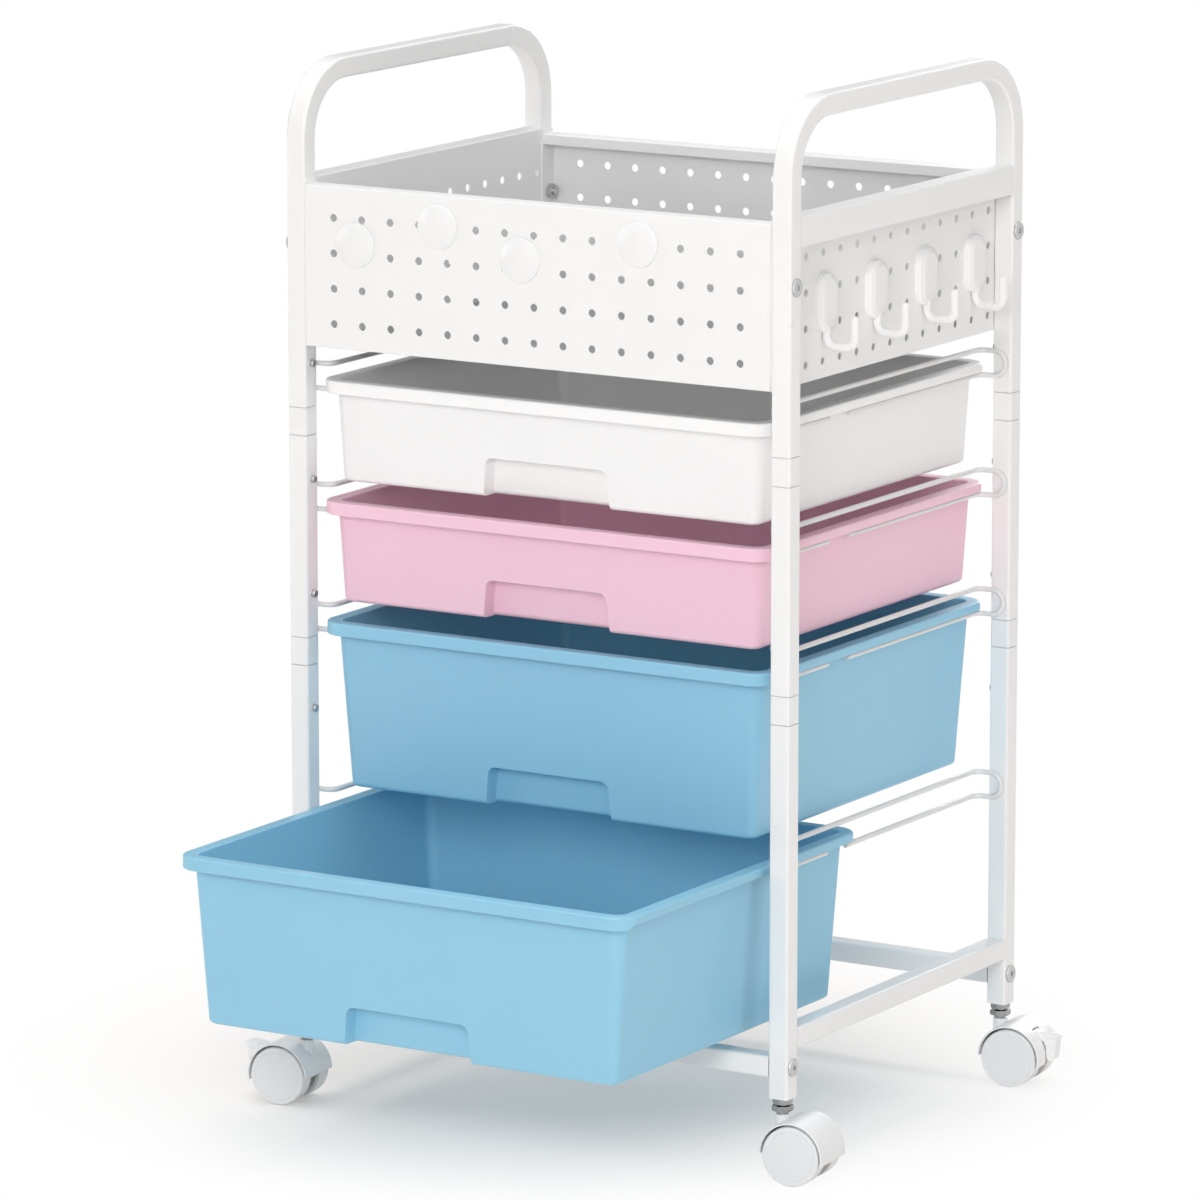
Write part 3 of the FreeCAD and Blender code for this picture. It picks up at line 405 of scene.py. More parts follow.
def plated_steel(name, light, dark, rough):
    """Plated steel: bright metal with cloudy plating and faint tool marks."""
    start = empty_tree(bpy.data.materials.new(name))
    cloud = mottled(start, PLATING_CLOUD, 4.0)
    marks = mottled(start, TOOL_MARK_SCALE, 2.0)
    colour = two_tones(start, cloud, light, dark)
    gloss = rough + PLATING_GLOSS_SPREAD * cloud
    return surface(name, colour, gloss, marks, TOOL_MARK_STRENGTH, TOOL_MARK_DEPTH, Metallic=1.0)


zinc = plated_steel("zinc_plate", ZINC, ZINC_DARK, ZINC_ROUGHNESS)
dress(["collar_screws", "frame_bolts", "wall_nuts", "crossbar_inserts"], zinc)


# Wire rails: 4 mm steel wire, bent to a loop with a lower and an upper run. The loop turns out
# at both ends, where it is welded to the posts, and it is coated with them.
WIRE_WHITE = (0.80, 0.80, 0.80)
WIRE_SHADE = (0.74, 0.74, 0.74)
WIRE_ROUGHNESS = 0.26

wire_coat = powder_coat("wire_powder_coat", WIRE_WHITE, WIRE_SHADE, WIRE_ROUGHNESS)
for row in ("lower_blue", "upper_blue", "pink", "white"):
    dress([row + "_left_rail", row + "_right_rail"], wire_coat)


# Tray: four perforated walls and a floor of 1 mm sheet steel, folded, spot welded and coated.
# The floor is a dark grey coat, painted shade: seen through the lowest peg holes, it is dark.
SHEET_ROUGHNESS = 0.34
TRAY_PAINTED_SHADE_GREY = (0.270, 0.272, 0.276)
TRAY_PAINTED_SHADE_DARKER = (0.235, 0.237, 0.242)
TRAY_ROUGHNESS = 0.42

sheet_coat = powder_coat("sheet_powder_coat", COAT_WHITE, COAT_SHADE, SHEET_ROUGHNESS)
# The tray floor's dark grey is painted shade for the dark inside of the tray.
tray_floor_shade_coat = powder_coat("tray_floor_painted_shade_coat", TRAY_PAINTED_SHADE_GREY, TRAY_PAINTED_SHADE_DARKER, TRAY_ROUGHNESS)
dress(["front_wall", "rear_wall", "left_wall", "right_wall"], sheet_coat)
dress(["tray_floor"], tray_floor_shade_coat)


# Drawers: one polypropylene moulding each, with drafted walls, a hanging rim with runners and
# a finger recess at the foot of the front. The walls are 2 mm and carry a fine satin grain.
DRAWER_COLOURS = {
    "lower_blue_drawer": ((0.285, 0.580, 0.755), (0.266, 0.556, 0.735)),
    # The upper blue is a little lighter than the lower blue, though both are the same plastic:
    # painted light to offset the shade under the pink drawer's rim.
    "upper_blue_drawer": ((0.300, 0.600, 0.785), (0.280, 0.575, 0.765)),
    "pink_drawer": ((0.930, 0.600, 0.715), (0.915, 0.578, 0.695)),
    "white_drawer": ((0.965, 0.965, 0.966), (0.948, 0.948, 0.949)),
}
MILKINESS = {
    "lower_blue_drawer": 0.15,
    "upper_blue_drawer": 0.15,
    "pink_drawer": 0.25,
    "white_drawer": 0.30,
}
SCATTER = 0.006
DRAWER_ROUGHNESS = 0.30
WALL = 2.0
RIM_WIDTH = 9.0
RIM_CORNER = 20.0
RIM_EDGE = 1.7
RIM_ROOT = 1.2
FRONT_SKIRT = 10.0
SIDE_SKIRT = 6.7
SKIRT_STEP = 11.7
SKIRT_BLEND = 3.0
SKIRT_INNER_EDGE = 0.6
FOOT_CORNER = 6.0
FOOT_RADIUS = 3.6
SHARPEST_CORNER = 0.8
MOUTH_RADIUS = 1.0
SIDE_DRAFT = 0.075
END_DRAFT = 0.05
RECESS_HALF = 52.5
RECESS_HEIGHT = 30.0
RECESS_DEPTH = 13.0
RECESS_CORNER = 7.0
RECESS_SLOPE = 3.0 / 30.0
RECESS_SIDE = 2.6
RECESS_EDGE = 0.8
RECESS_FILLET = 1.4
RECESS_ROUND_SHARE = 0.95
RECESS_FLARE_REACH = 30.0
FRONT_EVEN_START = 82.0
FRONT_EVEN_END = 96.0
FRONT_END = 160.0
HELD_START = 60.0
HELD_END = 170.0
CORNER_COLUMNS = 13
SIDE_COLUMNS = 9
REAR_COLUMNS = 13
FLOOR_RINGS = (0.0, 0.3, 0.6, 0.85)
NO_RECESS = 0
OUTER_RECESS = 1
INNER_RECESS = 2
RUNNER_WIDTH = 3.0
RUNNER_INSET = 12.0
RUNNER_SIDE = 4.5
RUNNER_EDGE = 0.4


def smooth_step(value):
    """0 below 0, 1 above 1, and a smooth rise between."""
    value = np.clip(value, 0.0, 1.0)
    return value * value * (3 - 2 * value)


def graded(stops):
    """Places from (stop, spacing) pairs: each stretch is divided evenly at about its spacing."""
    places = [np.array([stops[0][0]])]
    for (low, step), (high, _) in zip(stops, stops[1:]):
        count = max(1, int(round(abs(high - low) / step)))
        places.append(np.linspace(low, high, count + 1)[1:])
    return np.concatenate(places)


def drawer_columns():
    """The columns round a drawer, from the front's left end.

    Each column has its share of the way to the corner centres across (px) and back (py), the
    outward direction (nx, ny), and on the front its own distance from the middle. The front's
    columns stand closest at the sides of the recess.
    """
    half = graded([(0, 7.0), (RECESS_HALF - 10.5, 0.8), (RECESS_HALF - 3.0, 0.16),
                   (RECESS_HALF + 2.5, 3.0), (RECESS_HALF + 14.5, 6.0),
                   (RECESS_HALF + 31.5, 12.0), (FRONT_END, 12.0)])
    front = np.concatenate([-half[:0:-1], half])
    angle = np.radians(np.linspace(0, 90, CORNER_COLUMNS))[1:-1]
    side = np.linspace(-1, 1, SIDE_COLUMNS)
    across = np.linspace(1, -1, REAR_COLUMNS)
    zero = np.zeros_like
    one = np.ones_like
    parts = [
        (front / front[-1], -one(front), zero(front), -one(front)),
        (one(angle), -one(angle), np.sin(angle), -np.cos(angle)),
        (one(side), side, one(side), zero(side)),
        (one(angle), one(angle), np.cos(angle), np.sin(angle)),
        (across, one(across), zero(across), one(across)),
        (-one(angle), one(angle), -np.sin(angle), np.cos(angle)),
        (-one(side), -side, -one(side), zero(side)),
        (-one(angle), -one(angle), -np.cos(angle), -np.sin(angle)),
    ]
    columns = [np.concatenate([part[k] for part in parts]) for k in range(4)]
    fixed = np.full(columns[0].shape, np.nan)
    fixed[:len(front)] = front
    return columns + [fixed]


def drawer_stations(depth):
    """The drawer wall's section from the middle of its floor inside to the same place outside.

    Each station has its distance in from the rim's edge, its height over the rim's top (below
    zero), its share of the draft, its corner radius, its scale towards the middle, which skin
    of the finger recess moves it, and whether it hangs at the skirt's lower edge.
    """
    rows = []

    def add(inset, height, corner, scale=1.0, recess=NO_RECESS, hang=0):
        rows.append((inset, height, min(1.0, -height / depth), corner, scale, recess, hang))

    inner = RIM_WIDTH + WALL
    slant = (RIM_CORNER - RIM_WIDTH - FOOT_CORNER) / depth

    def corner_at(height, inset):
        return max(SHARPEST_CORNER, RIM_CORNER - inset + slant * height)

    def wall_heights(low, top):
        recess_top = RECESS_HEIGHT - depth
        return graded([(low, 2.5), (recess_top - 9, 0.8), (recess_top - 3, 0.16),
                       (recess_top + 2.5, 3.0), (recess_top + 14, 6.0), (top, 6.0)])

    floor = -depth + WALL
    for scale in FLOOR_RINGS:
        add(inner + FOOT_RADIUS - WALL, floor, corner_at(floor, inner), scale)
    inner_radius = FOOT_RADIUS - WALL
    for out, up in arc((inner_radius, inner_radius), inner_radius, -90, -180, 5):
        add(inner + out, floor + up, corner_at(floor, inner), recess=INNER_RECESS)
    for height in wall_heights(floor + inner_radius, -MOUTH_RADIUS)[1:-1]:
        add(inner, height, corner_at(height, inner), recess=INNER_RECESS)
    for out, up in arc((inner - MOUTH_RADIUS, -MOUTH_RADIUS), MOUTH_RADIUS, 0, 90, 5):
        add(out, up, RIM_CORNER - out)
    for out, up in arc((RIM_EDGE, -RIM_EDGE), RIM_EDGE, 90, 180, 6):
        add(out, up, RIM_CORNER - out)
    lip = WALL / 2
    for out, up in arc((lip, 0), lip, 180, 360, 7):
        add(out, up, RIM_CORNER - out, hang=1)
    add(WALL, -WALL - lip, RIM_CORNER - WALL)
    add(WALL + SKIRT_INNER_EDGE, -WALL, RIM_CORNER - WALL - SKIRT_INNER_EDGE)
    for out, up in arc((RIM_WIDTH - RIM_ROOT, -WALL - RIM_ROOT), RIM_ROOT, 90, 0, 4):
        add(out, up, RIM_CORNER - out)
    for height in wall_heights(-depth + FOOT_RADIUS, -WALL - 3.0)[::-1]:
        add(RIM_WIDTH, height, corner_at(height, RIM_WIDTH), recess=OUTER_RECESS)
    for out, up in arc((FOOT_RADIUS, FOOT_RADIUS), FOOT_RADIUS, 180, 270, 6)[1:]:
        add(RIM_WIDTH + out, -depth + up, corner_at(-depth, RIM_WIDTH), recess=OUTER_RECESS)
    for scale in FLOOR_RINGS[::-1]:
        add(RIM_WIDTH + FOOT_RADIUS, -depth, corner_at(-depth, RIM_WIDTH), scale)
    return np.array(rows).T


def recess_side(distance):
    """How far the recess has sunk at a distance in from its outline.

    A small radius at the edge leads into a steep side, and a larger one into the back.
    """
    distance = np.clip(distance, 0, RECESS_SIDE)
    edge_end = RECESS_EDGE * RECESS_ROUND_SHARE
    fillet_start = RECESS_SIDE - RECESS_FILLET * RECESS_ROUND_SHARE

    def at_edge(d):
        return RECESS_EDGE - np.sqrt(np.maximum(RECESS_EDGE ** 2 - d ** 2, 0))

    def at_fillet(d):
        left = RECESS_SIDE - d
        rise = np.sqrt(np.maximum(RECESS_FILLET ** 2 - left ** 2, 0))
        return RECESS_DEPTH - RECESS_FILLET + rise

    share = (distance - edge_end) / (fillet_start - edge_end)
    steep = at_edge(edge_end) + share * (at_fillet(fillet_start) - at_edge(edge_end))
    return np.where(distance < edge_end, at_edge(distance),
                    np.where(distance > fillet_start, at_fillet(distance), steep))


def recess_sink(across, above, grow):
    """How far the finger recess has sunk at a place, in millimetres.

    It follows the signed distance to the recess's outline, a box with round upper corners
    that is open downwards. The inner skin's outline is larger by the wall.
    """
    half = RECESS_HALF + grow
    top = RECESS_HEIGHT + grow
    radius = RECESS_CORNER + grow
    out_x = np.abs(across) - half + radius
    out_z = above - top + radius
    outside = np.hypot(np.maximum(out_x, 0), np.maximum(out_z, 0))
    inside = np.minimum(np.maximum(out_x, out_z), 0)
    return recess_side(radius - outside - inside)


def drawer_skin(low, high):
    """The whole drawer as one closed grid: its section carried round a rounded rectangle.

    Over the middle of the front the columns stand upright at their own distances, so that they
    follow the recess, and past it they blend into the even spacing of the rest.
    """
    depth = high[2] - low[2]
    middle = (low + high) / 2
    half_width = (high[0] - low[0]) / 2
    half_length = (high[1] - low[1]) / 2
    px, py, nx, ny, fixed = (c[None, :] for c in drawer_columns())
    inset, height, draft, corner, scale, recess, hang = (
        s[:, None] for s in drawer_stations(depth))
    reach_x = half_width - inset - draft * depth * SIDE_DRAFT - corner
    reach_y = half_length - inset - draft * depth * END_DRAFT - corner
    x = px * reach_x + nx * corner
    y = py * reach_y + ny * corner
    front = ~np.isnan(fixed)
    own = np.where(front, np.nan_to_num(fixed), 0.0)
    above = height + depth + 0 * px
    drop = np.clip(RECESS_HEIGHT - above, 0, RECESS_HEIGHT)
    flare = smooth_step(1 - np.abs(np.abs(own) - RECESS_HALF) / RECESS_FLARE_REACH)
    even = smooth_step((FRONT_EVEN_END - np.abs(own)) / (FRONT_EVEN_END - FRONT_EVEN_START))
    outer_ring = scale >= FLOOR_RINGS[-1]
    straight = own + np.sign(own) * RECESS_SLOPE * drop * flare * outer_ring
    x = np.where(front, even * straight + (1 - even) * x, x)
    sunk = recess_sink(own, above, np.where(recess == INNER_RECESS, WALL, 0.0))
    y = y + np.where(front & (recess != NO_RECESS), sunk, 0.0)
    skirt_y = py * (half_length - RIM_CORNER) + ny * RIM_CORNER + half_length
    at_front = smooth_step((SKIRT_STEP + SKIRT_BLEND / 2 - skirt_y) / SKIRT_BLEND)
    skirt = SIDE_SKIRT + (FRONT_SKIRT - SIDE_SKIRT) * at_front
    z = height + hang * (WALL / 2 - skirt)
    held = front * smooth_step((HELD_END - np.abs(own)) / (HELD_END - HELD_START))
    x = x * np.where(outer_ring, scale + (1 - scale) * held, scale)
    y = y * scale
    return np.stack([x + middle[0], y + middle[1], z + high[2]], axis=2)


def runner(low, high, side):
    """The rib under one side of the rim that slides on the wire, as a rounded bar."""
    x = (high[0] - RUNNER_SIDE) if side > 0 else (low[0] + RUNNER_SIDE)
    half = RUNNER_WIDTH / 2
    flat = half - RUNNER_EDGE
    edge = RUNNER_EDGE - SIDE_SKIRT
    section = np.array([(-half, -WALL), (-half, edge), (-flat, -SIDE_SKIRT),
                        (flat, -SIDE_SKIRT), (half, edge), (half, -WALL)])
    front = low[1] + RUNNER_INSET
    rear = high[1] - RUNNER_INSET
    ends = np.array([front, front, rear, rear])[:, None]
    open_ring = np.array([0.0, 1.0, 1.0, 0.0])[:, None]
    bar_x = x + section[:, 0] * open_ring
    bar_z = high[2] + np.where(open_ring > 0, section[:, 1], -(WALL + SIDE_SKIRT) / 2)
    return np.stack([bar_x, ends + 0 * bar_x, bar_z], axis=2)


for drawer_name, (light, shade) in DRAWER_COLOURS.items():
    milky = MILKINESS[drawer_name]
    plastic = moulded(drawer_name + "_plastic", light, shade, DRAWER_ROUGHNESS,
                      Subsurface_Weight=milky, Subsurface_Radius=(1.0, 1.0, 1.0),
                      Subsurface_Scale=SCATTER)
    low, high = corners_of(drawer_name)
    grids = [(drawer_skin(low, high), False, True)]
    for side in (-1, 1):
        grids.append((runner(low, high, side), False, True))
    piece(drawer_name + "_moulding", grids, plastic,
          drawer_name, [drawer_name], crease=60.0)


# Caster stems: bright plated steel, screwed into a dark plastic plug in the post's foot. A flat
# hexagon is part of the stem, and a taller locknut is done up against the post. Both have turned
# chamfers.
STEM_BRIGHT = (0.50, 0.50, 0.50)
STEM_DARK = (0.19, 0.19, 0.19)
STEM_ROUGHNESS = 0.12
SOCKET_AND_WEB_SHADE_GREY = (0.30, 0.30, 0.31)
SOCKET_AND_WEB_SHADE_DARKER = (0.26, 0.26, 0.27)
SOCKET_ROUGHNESS = 0.50
HEX_FLATS = 14.0
HEX_LOW = 51.4
HEX_TOP = 55.4
NUT_FLATS = 13.0
NUT_LOW = 56.2
NUT_TOP = 61.0
HEX_CHAMFER = 0.7
PAST_CORNERS = 1.0
NUT_CLEARANCE = 0.05
STEM_RADIUS = 4.0
STEM_COLLAR = 1.4
STEM_COLLAR_HEIGHT = 1.0
PIN_RADIUS = 3.5
PIN_LOW = 29.0
STEM_TOP = 79.0
THREAD_PITCH = 1.25
THREAD_DEPTH = 0.35


def joint_named(name):
    """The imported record's joint of this name."""
    return next(joint for joint in frame["joints"] if joint["name"] == name)


def caster_frame(post):
    """A caster's stem foot, the way it trails and the way its axle lies, from its joints."""
    stem = np.array(joint_named(post + "_swivel")["pos_m"]) / MM
    spin = joint_named(post + "_wheel_a_spin")
    trail = np.cross(spin["axis"], (0, 0, 1))
    if (np.array(spin["pos_m"]) / MM - stem) @ trail < 0:
        trail = -trail
    stem[2] = 0.0
    return stem, trail, np.cross((0, 0, 1), trail)


def placed(post, points):
    """Points along the trail, across and up, set under their post."""
    stem, trail, across = caster_frame(post)
    return stem + points @ np.array([trail, across, (0, 0, 1)])


def upright_hexagon(flats, stations, steps=72):
    """A hexagon turned down to a circle wherever a station's radius is less than its own.

    The stations are (height, radius), and the radius at each angle is the smaller of the
    hexagon's and the circle's.
    """
    turn = np.linspace(0, 2 * math.pi, steps, endpoint=False)
    hexagon = flats / 2 / np.cos((turn + math.pi / 6) % (math.pi / 3) - math.pi / 6)
    height, radius = (np.array(part)[:, None] for part in zip(*stations))
    reach = np.minimum(hexagon[None, :], radius)
    return np.stack([reach * np.cos(turn), reach * np.sin(turn), height + 0 * reach], axis=2)


def turned_thread(low, top, radius):
    """Stations of a screw thread: rings that rise and fall once in each pitch."""
    height = np.arange(low, top, THREAD_PITCH / 4)
    wave = np.abs(((height - low) / THREAD_PITCH) % 1 * 2 - 1)
    return list(zip(height, radius - THREAD_DEPTH * wave))


steel = plated_steel("stem_plate", STEM_BRIGHT, STEM_DARK, STEM_ROUGHNESS)
hex_reach = HEX_FLATS / math.sqrt(3) + PAST_CORNERS
collar_low = HEX_LOW - STEM_COLLAR_HEIGHT
collar_radius = PIN_RADIUS + STEM_COLLAR
stem_stations = [(PIN_LOW, 0), (PIN_LOW, PIN_RADIUS), (collar_low, PIN_RADIUS),
                 (collar_low, collar_radius), (HEX_LOW, collar_radius),
                 (HEX_LOW, hex_reach - HEX_CHAMFER * 2), (HEX_LOW + HEX_CHAMFER, hex_reach),
                 (HEX_TOP - HEX_CHAMFER, hex_reach), (HEX_TOP, hex_reach - HEX_CHAMFER * 2),
                 (HEX_TOP, STEM_RADIUS)]
stem_stations += turned_thread(HEX_TOP, STEM_TOP, STEM_RADIUS)
stem_stations += [(STEM_TOP, STEM_RADIUS - THREAD_DEPTH), (STEM_TOP, 0)]
nut_reach = NUT_FLATS / math.sqrt(3) + PAST_CORNERS
nut_bore = STEM_RADIUS + NUT_CLEARANCE
nut_stations = [(NUT_LOW, nut_reach - HEX_CHAMFER * 3), (NUT_LOW + HEX_CHAMFER, nut_reach),
                (NUT_TOP - HEX_CHAMFER, nut_reach), (NUT_TOP, nut_reach - HEX_CHAMFER * 3),
                (NUT_TOP, nut_bore), (NUT_LOW, nut_bore)]
stem_grids = [(placed(post, upright_hexagon(HEX_FLATS, stem_stations)), False, True)
              for post in POSTS]
nut_grids = [(placed(post, upright_hexagon(NUT_FLATS, nut_stations)), True, True)
             for post in POSTS]
piece("threaded_stems", stem_grids, steel, "frame", ["caster_stems"])
piece("chamfered_locknuts", nut_grids, steel, "frame", ["stem_locknuts"])
dress([post + "_axle" for post in POSTS], steel)
# This dark grey is the sockets' own colour; on the caster hoods' webs it is painted shade between
# the wheels.
socket_and_web_shade_plastic = moulded("socket_and_web_shade_plastic", SOCKET_AND_WEB_SHADE_GREY, SOCKET_AND_WEB_SHADE_DARKER, SOCKET_ROUGHNESS)
dress(["caster_sockets"], socket_and_web_shade_plastic)


# Wheels: two grey-white nylon discs on each caster, dished inside round the hub, with a round
# shoulder and a flat cap whose edge shows as a fine ring.
WHEEL_WHITE = (0.850, 0.853, 0.860)
WHEEL_SHADE = (0.825, 0.829, 0.837)
WHEEL_ROUGHNESS = 0.38
WHEEL_RADIUS = 22.5
WHEEL_INNER = 7.5
WHEEL_OUTER = 21.5
WHEEL_SHOULDER = 1.3
WHEEL_CROWN = 0.15
CAP_RADIUS = 18.6
CAP_GROOVE = 0.3
TREAD_EDGE = 0.8
HUB_RADIUS = 7.0
HUB_EDGE = 0.4
DISH_RADIUS = 18.5
DISH_FLOOR = 15.5
BORE_RADIUS = 2.55
BORE_END = 19.0
CASTER_TRAIL = 15.5


def turned(profile, origin, axis, steps=96):
    """A profile of (along, radius) turned about an axis through the origin."""
    axis = np.array(axis, float)
    side = np.cross(axis, (0.31, 0.17, 0.93))
    side = side / np.linalg.norm(side)
    other = np.cross(axis, side)
    turn = np.linspace(0, 2 * math.pi, steps, endpoint=False)[None, :, None]
    along, radius = (np.array(part, float)[:, None, None] for part in zip(*profile))
    return origin + along * axis + radius * (np.cos(turn) * side + np.sin(turn) * other)


def wheel_profile():
    """Half the section of a wheel, from the end of its bore to the middle of its cap."""
    inside = [(BORE_END, 0), (BORE_END, BORE_RADIUS), (WHEEL_INNER, BORE_RADIUS),
              (WHEEL_INNER, HUB_RADIUS - HUB_EDGE), (WHEEL_INNER + HUB_EDGE, HUB_RADIUS),
              (DISH_FLOOR, HUB_RADIUS), (DISH_FLOOR, DISH_RADIUS),
              (WHEEL_INNER + HUB_EDGE, DISH_RADIUS), (WHEEL_INNER, DISH_RADIUS + HUB_EDGE),
              (WHEEL_INNER, WHEEL_RADIUS - TREAD_EDGE)]
    tread = np.linspace(WHEEL_INNER + TREAD_EDGE, WHEEL_OUTER - WHEEL_SHOULDER, 7)
    bend = (tread - tread.mean()) / (tread[-1] - tread.mean())
    crown = list(zip(tread, WHEEL_RADIUS - WHEEL_CROWN * bend ** 2))
    bend_centre = (WHEEL_OUTER - WHEEL_SHOULDER, WHEEL_RADIUS - WHEEL_SHOULDER - WHEEL_CROWN)
    shoulder = [tuple(place) for place in arc(bend_centre, WHEEL_SHOULDER, 90, 0, 7)]
    groove = [(WHEEL_OUTER, CAP_RADIUS + CAP_GROOVE), (WHEEL_OUTER - CAP_GROOVE, CAP_RADIUS),
              (WHEEL_OUTER, CAP_RADIUS - CAP_GROOVE), (WHEEL_OUTER, CAP_RADIUS / 2),
              (WHEEL_OUTER, 0)]
    return inside + crown + shoulder[1:] + groove


wheel_nylon = moulded("wheel_nylon", WHEEL_WHITE, WHEEL_SHADE, WHEEL_ROUGHNESS)
for post in POSTS:
    stem, trail, across = caster_frame(post)
    axle = stem + CASTER_TRAIL * trail + (0, 0, WHEEL_RADIUS)
    for letter, turn in (("a", -1), ("b", 1)):
        name = post + "_wheel_" + letter
        grid = turned(wheel_profile(), axle, turn * across)
        piece(name + "_disc", [(grid, False, True)], wheel_nylon, name, [name])


# Caster hoods: satin white mouldings. A thin dome reaches over both wheels, a web between them
# carries the axle, and a short neck takes the stem. The web is drawn dark grey, as painted shade
# between the wheels. Two hoods have a slot for a brake lever.
HOOD_WHITE = (0.915, 0.915, 0.917)
HOOD_SHADE = (0.895, 0.895, 0.898)
HOOD_ROUGHNESS = 0.36
HOOD_GRAIN = 0.04
HOOD_SHINE = 0.4
HOOD_RADIUS = 24.1
HOOD_WALL = 1.15
HOOD_HALF = 21.5
HOOD_FRONT = 180.0
HOOD_TAIL = -12.0
HOOD_TURN_STEP = 6.0
HOOD_WIDTH_STEP = 4.0
HOOD_EDGE = 0.45
HOOD_SHARP = 40.0
WEB_HALF = 6.0
WEB_REACH = 23.3
WEB_STOP = 73.0
WEB_MIDDLE = 5.0
NECK_RADIUS = 5.5
NECK_TOP = 49.2
NECK_EDGE = 0.8
NECK_EDGE_MIDDLE = 0.25
SLOT_HALF = 6.0
SLOT_START = 58.0
PIN_BACK = 13.5
PIN_UP = 12.5
LEVER_PIN = 1.5
CHEEK_HALF = 0.7
CHEEK_PLACE = 6.7
CHEEK_START = 72.0
CHEEK_STOP = 18.0
BRAKED = ("front_left", "rear_right")


def dome_sheet(braked):
    """The dome's outer skin as points and faces, without the faces in the brake lever's slot.

    The skin is a strip of a cylinder round the axle. Its angle runs from the front edge, over
    the top, to the tail below the axle, and the columns run across.
    """
    angle = graded([(stop, HOOD_TURN_STEP) for stop in (HOOD_FRONT, SLOT_START, HOOD_TAIL)])
    width = graded([(stop, HOOD_WIDTH_STEP)
                    for stop in (-HOOD_HALF, -SLOT_HALF, SLOT_HALF, HOOD_HALF)])
    turn = np.radians(angle)[:, None]
    x = CASTER_TRAIL + HOOD_RADIUS * np.cos(turn) + 0 * width
    z = WHEEL_RADIUS + HOOD_RADIUS * np.sin(turn) + 0 * width
    points = np.stack([x, width + 0 * x, z], axis=2).reshape(-1, 3)
    faces = grid_faces(len(angle), len(width))
    if braked:
        back, across, up = points[faces].mean(axis=1).T
        face_angle = np.degrees(np.arctan2(up - WHEEL_RADIUS, back - CASTER_TRAIL))
        open_slot = (np.abs(across) < SLOT_HALF) & (face_angle < SLOT_START)
        faces = faces[~open_slot]
    used, faces = np.unique(faces, return_inverse=True)
    return points[used], faces.reshape(-1, 4)


def extruded(outline, half, centre):
    """A flat outline (back, up) drawn out across the caster, closed at both ends.

    The half width is one number, or one for each point of the outline.
    """
    ring = np.array(outline, float)
    middle = np.zeros_like(ring) + np.array(centre)
    half = np.zeros(len(ring)) + half
    widest = 0 * half + half.max()
    rows = [(middle, -widest), (ring, -half), (ring, half), (middle, widest)]
    return np.stack([np.stack([r[:, 0], y, r[:, 1]], axis=1) for r, y in rows])


def hood_body(braked):
    """The web with its hub, the neck, and on a braked caster two cheeks and the lever's pin."""
    centre = (CASTER_TRAIL, WHEEL_RADIUS)
    top = arc(centre, WEB_REACH, HOOD_FRONT, WEB_STOP, 20)
    hub = arc(centre, HUB_RADIUS, 0, -180, 16)
    web = extruded(np.concatenate([top, hub]), WEB_HALF,
                   (CASTER_TRAIL - WEB_MIDDLE, WHEEL_RADIUS + WEB_MIDDLE))
    neck = turned([(WHEEL_RADIUS, 0), (WHEEL_RADIUS, NECK_RADIUS),
                   (NECK_TOP - NECK_EDGE, NECK_RADIUS),
                   (NECK_TOP - NECK_EDGE_MIDDLE, NECK_RADIUS - NECK_EDGE_MIDDLE),
                   (NECK_TOP, NECK_RADIUS - NECK_EDGE), (NECK_TOP, 0)],
                  np.zeros(3), (0, 0, 1), 48)
    grids = [(neck, False, True)]
    if braked:
        pin_place = (CASTER_TRAIL + PIN_BACK, WHEEL_RADIUS + PIN_UP)
        pin = extruded(arc(pin_place, LEVER_PIN, 0, 360, 25)[:-1], CHEEK_PLACE, pin_place)
        grids.append((pin, False, True))
        under_dome = arc(centre, HOOD_RADIUS - HOOD_WALL / 2, CHEEK_START, CHEEK_STOP, 12)
        inner_corner = (CASTER_TRAIL + HUB_RADIUS, WHEEL_RADIUS + HUB_RADIUS)
        cheek = extruded([*under_dome, inner_corner], CHEEK_HALF, pin_place)
        for side in (-1, 1):
            grids.append((cheek + (0, side * CHEEK_PLACE, 0), False, True))
    return [(web, False, True)], grids


def round_edges(made, width, sharp):
    """Round the edges that bend by more than an angle, with a bevel of a width in millimetres."""
    edge = made.modifiers.new("round_edge", "BEVEL")
    edge.width = width * MM
    edge.segments = 3
    edge.limit_method = "ANGLE"
    edge.angle_limit = math.radians(sharp)


hood_plastic = moulded("hood_plastic", HOOD_WHITE, HOOD_SHADE, HOOD_ROUGHNESS,
                       bump=HOOD_GRAIN, Specular_IOR_Level=HOOD_SHINE)
for post in POSTS:
    braked = post in BRAKED
    points, faces = dome_sheet(braked)
    dome_mesh = bpy.data.meshes.new(post + "_hood_dome")
    dome_points = placed(post, points) * MM
    dome_mesh.from_pydata(dome_points.tolist(), [], faces.tolist())
    dome_mesh.polygons.foreach_set("use_smooth", [True] * len(dome_mesh.polygons))
    dome_mesh.materials.append(hood_plastic)
    dome = bpy.data.objects.new(post + "_hood_dome", dome_mesh)
    bpy.context.scene.collection.objects.link(dome)
    shell = dome.modifiers.new("wall", "SOLIDIFY")
    shell.thickness = HOOD_WALL * MM
    shell.offset = -1
    round_edges(dome, HOOD_EDGE, HOOD_SHARP)
    dome.modifiers.new("even_shading", "WEIGHTED_NORMAL")
    body = post + "_caster"
    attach(dome, body)
    web, upper = ([(placed(post, grid), rows, columns) for grid, rows, columns in grids]
                  for grids in hood_body(braked))
    piece(post + "_hood_neck", upper, hood_plastic, body,
          [post + "_caster_hood"])
    # The web is dark grey: painted shade for the hollow between the two wheels.
    piece(post + "_hood_web", web, socket_and_web_shade_plastic, body)


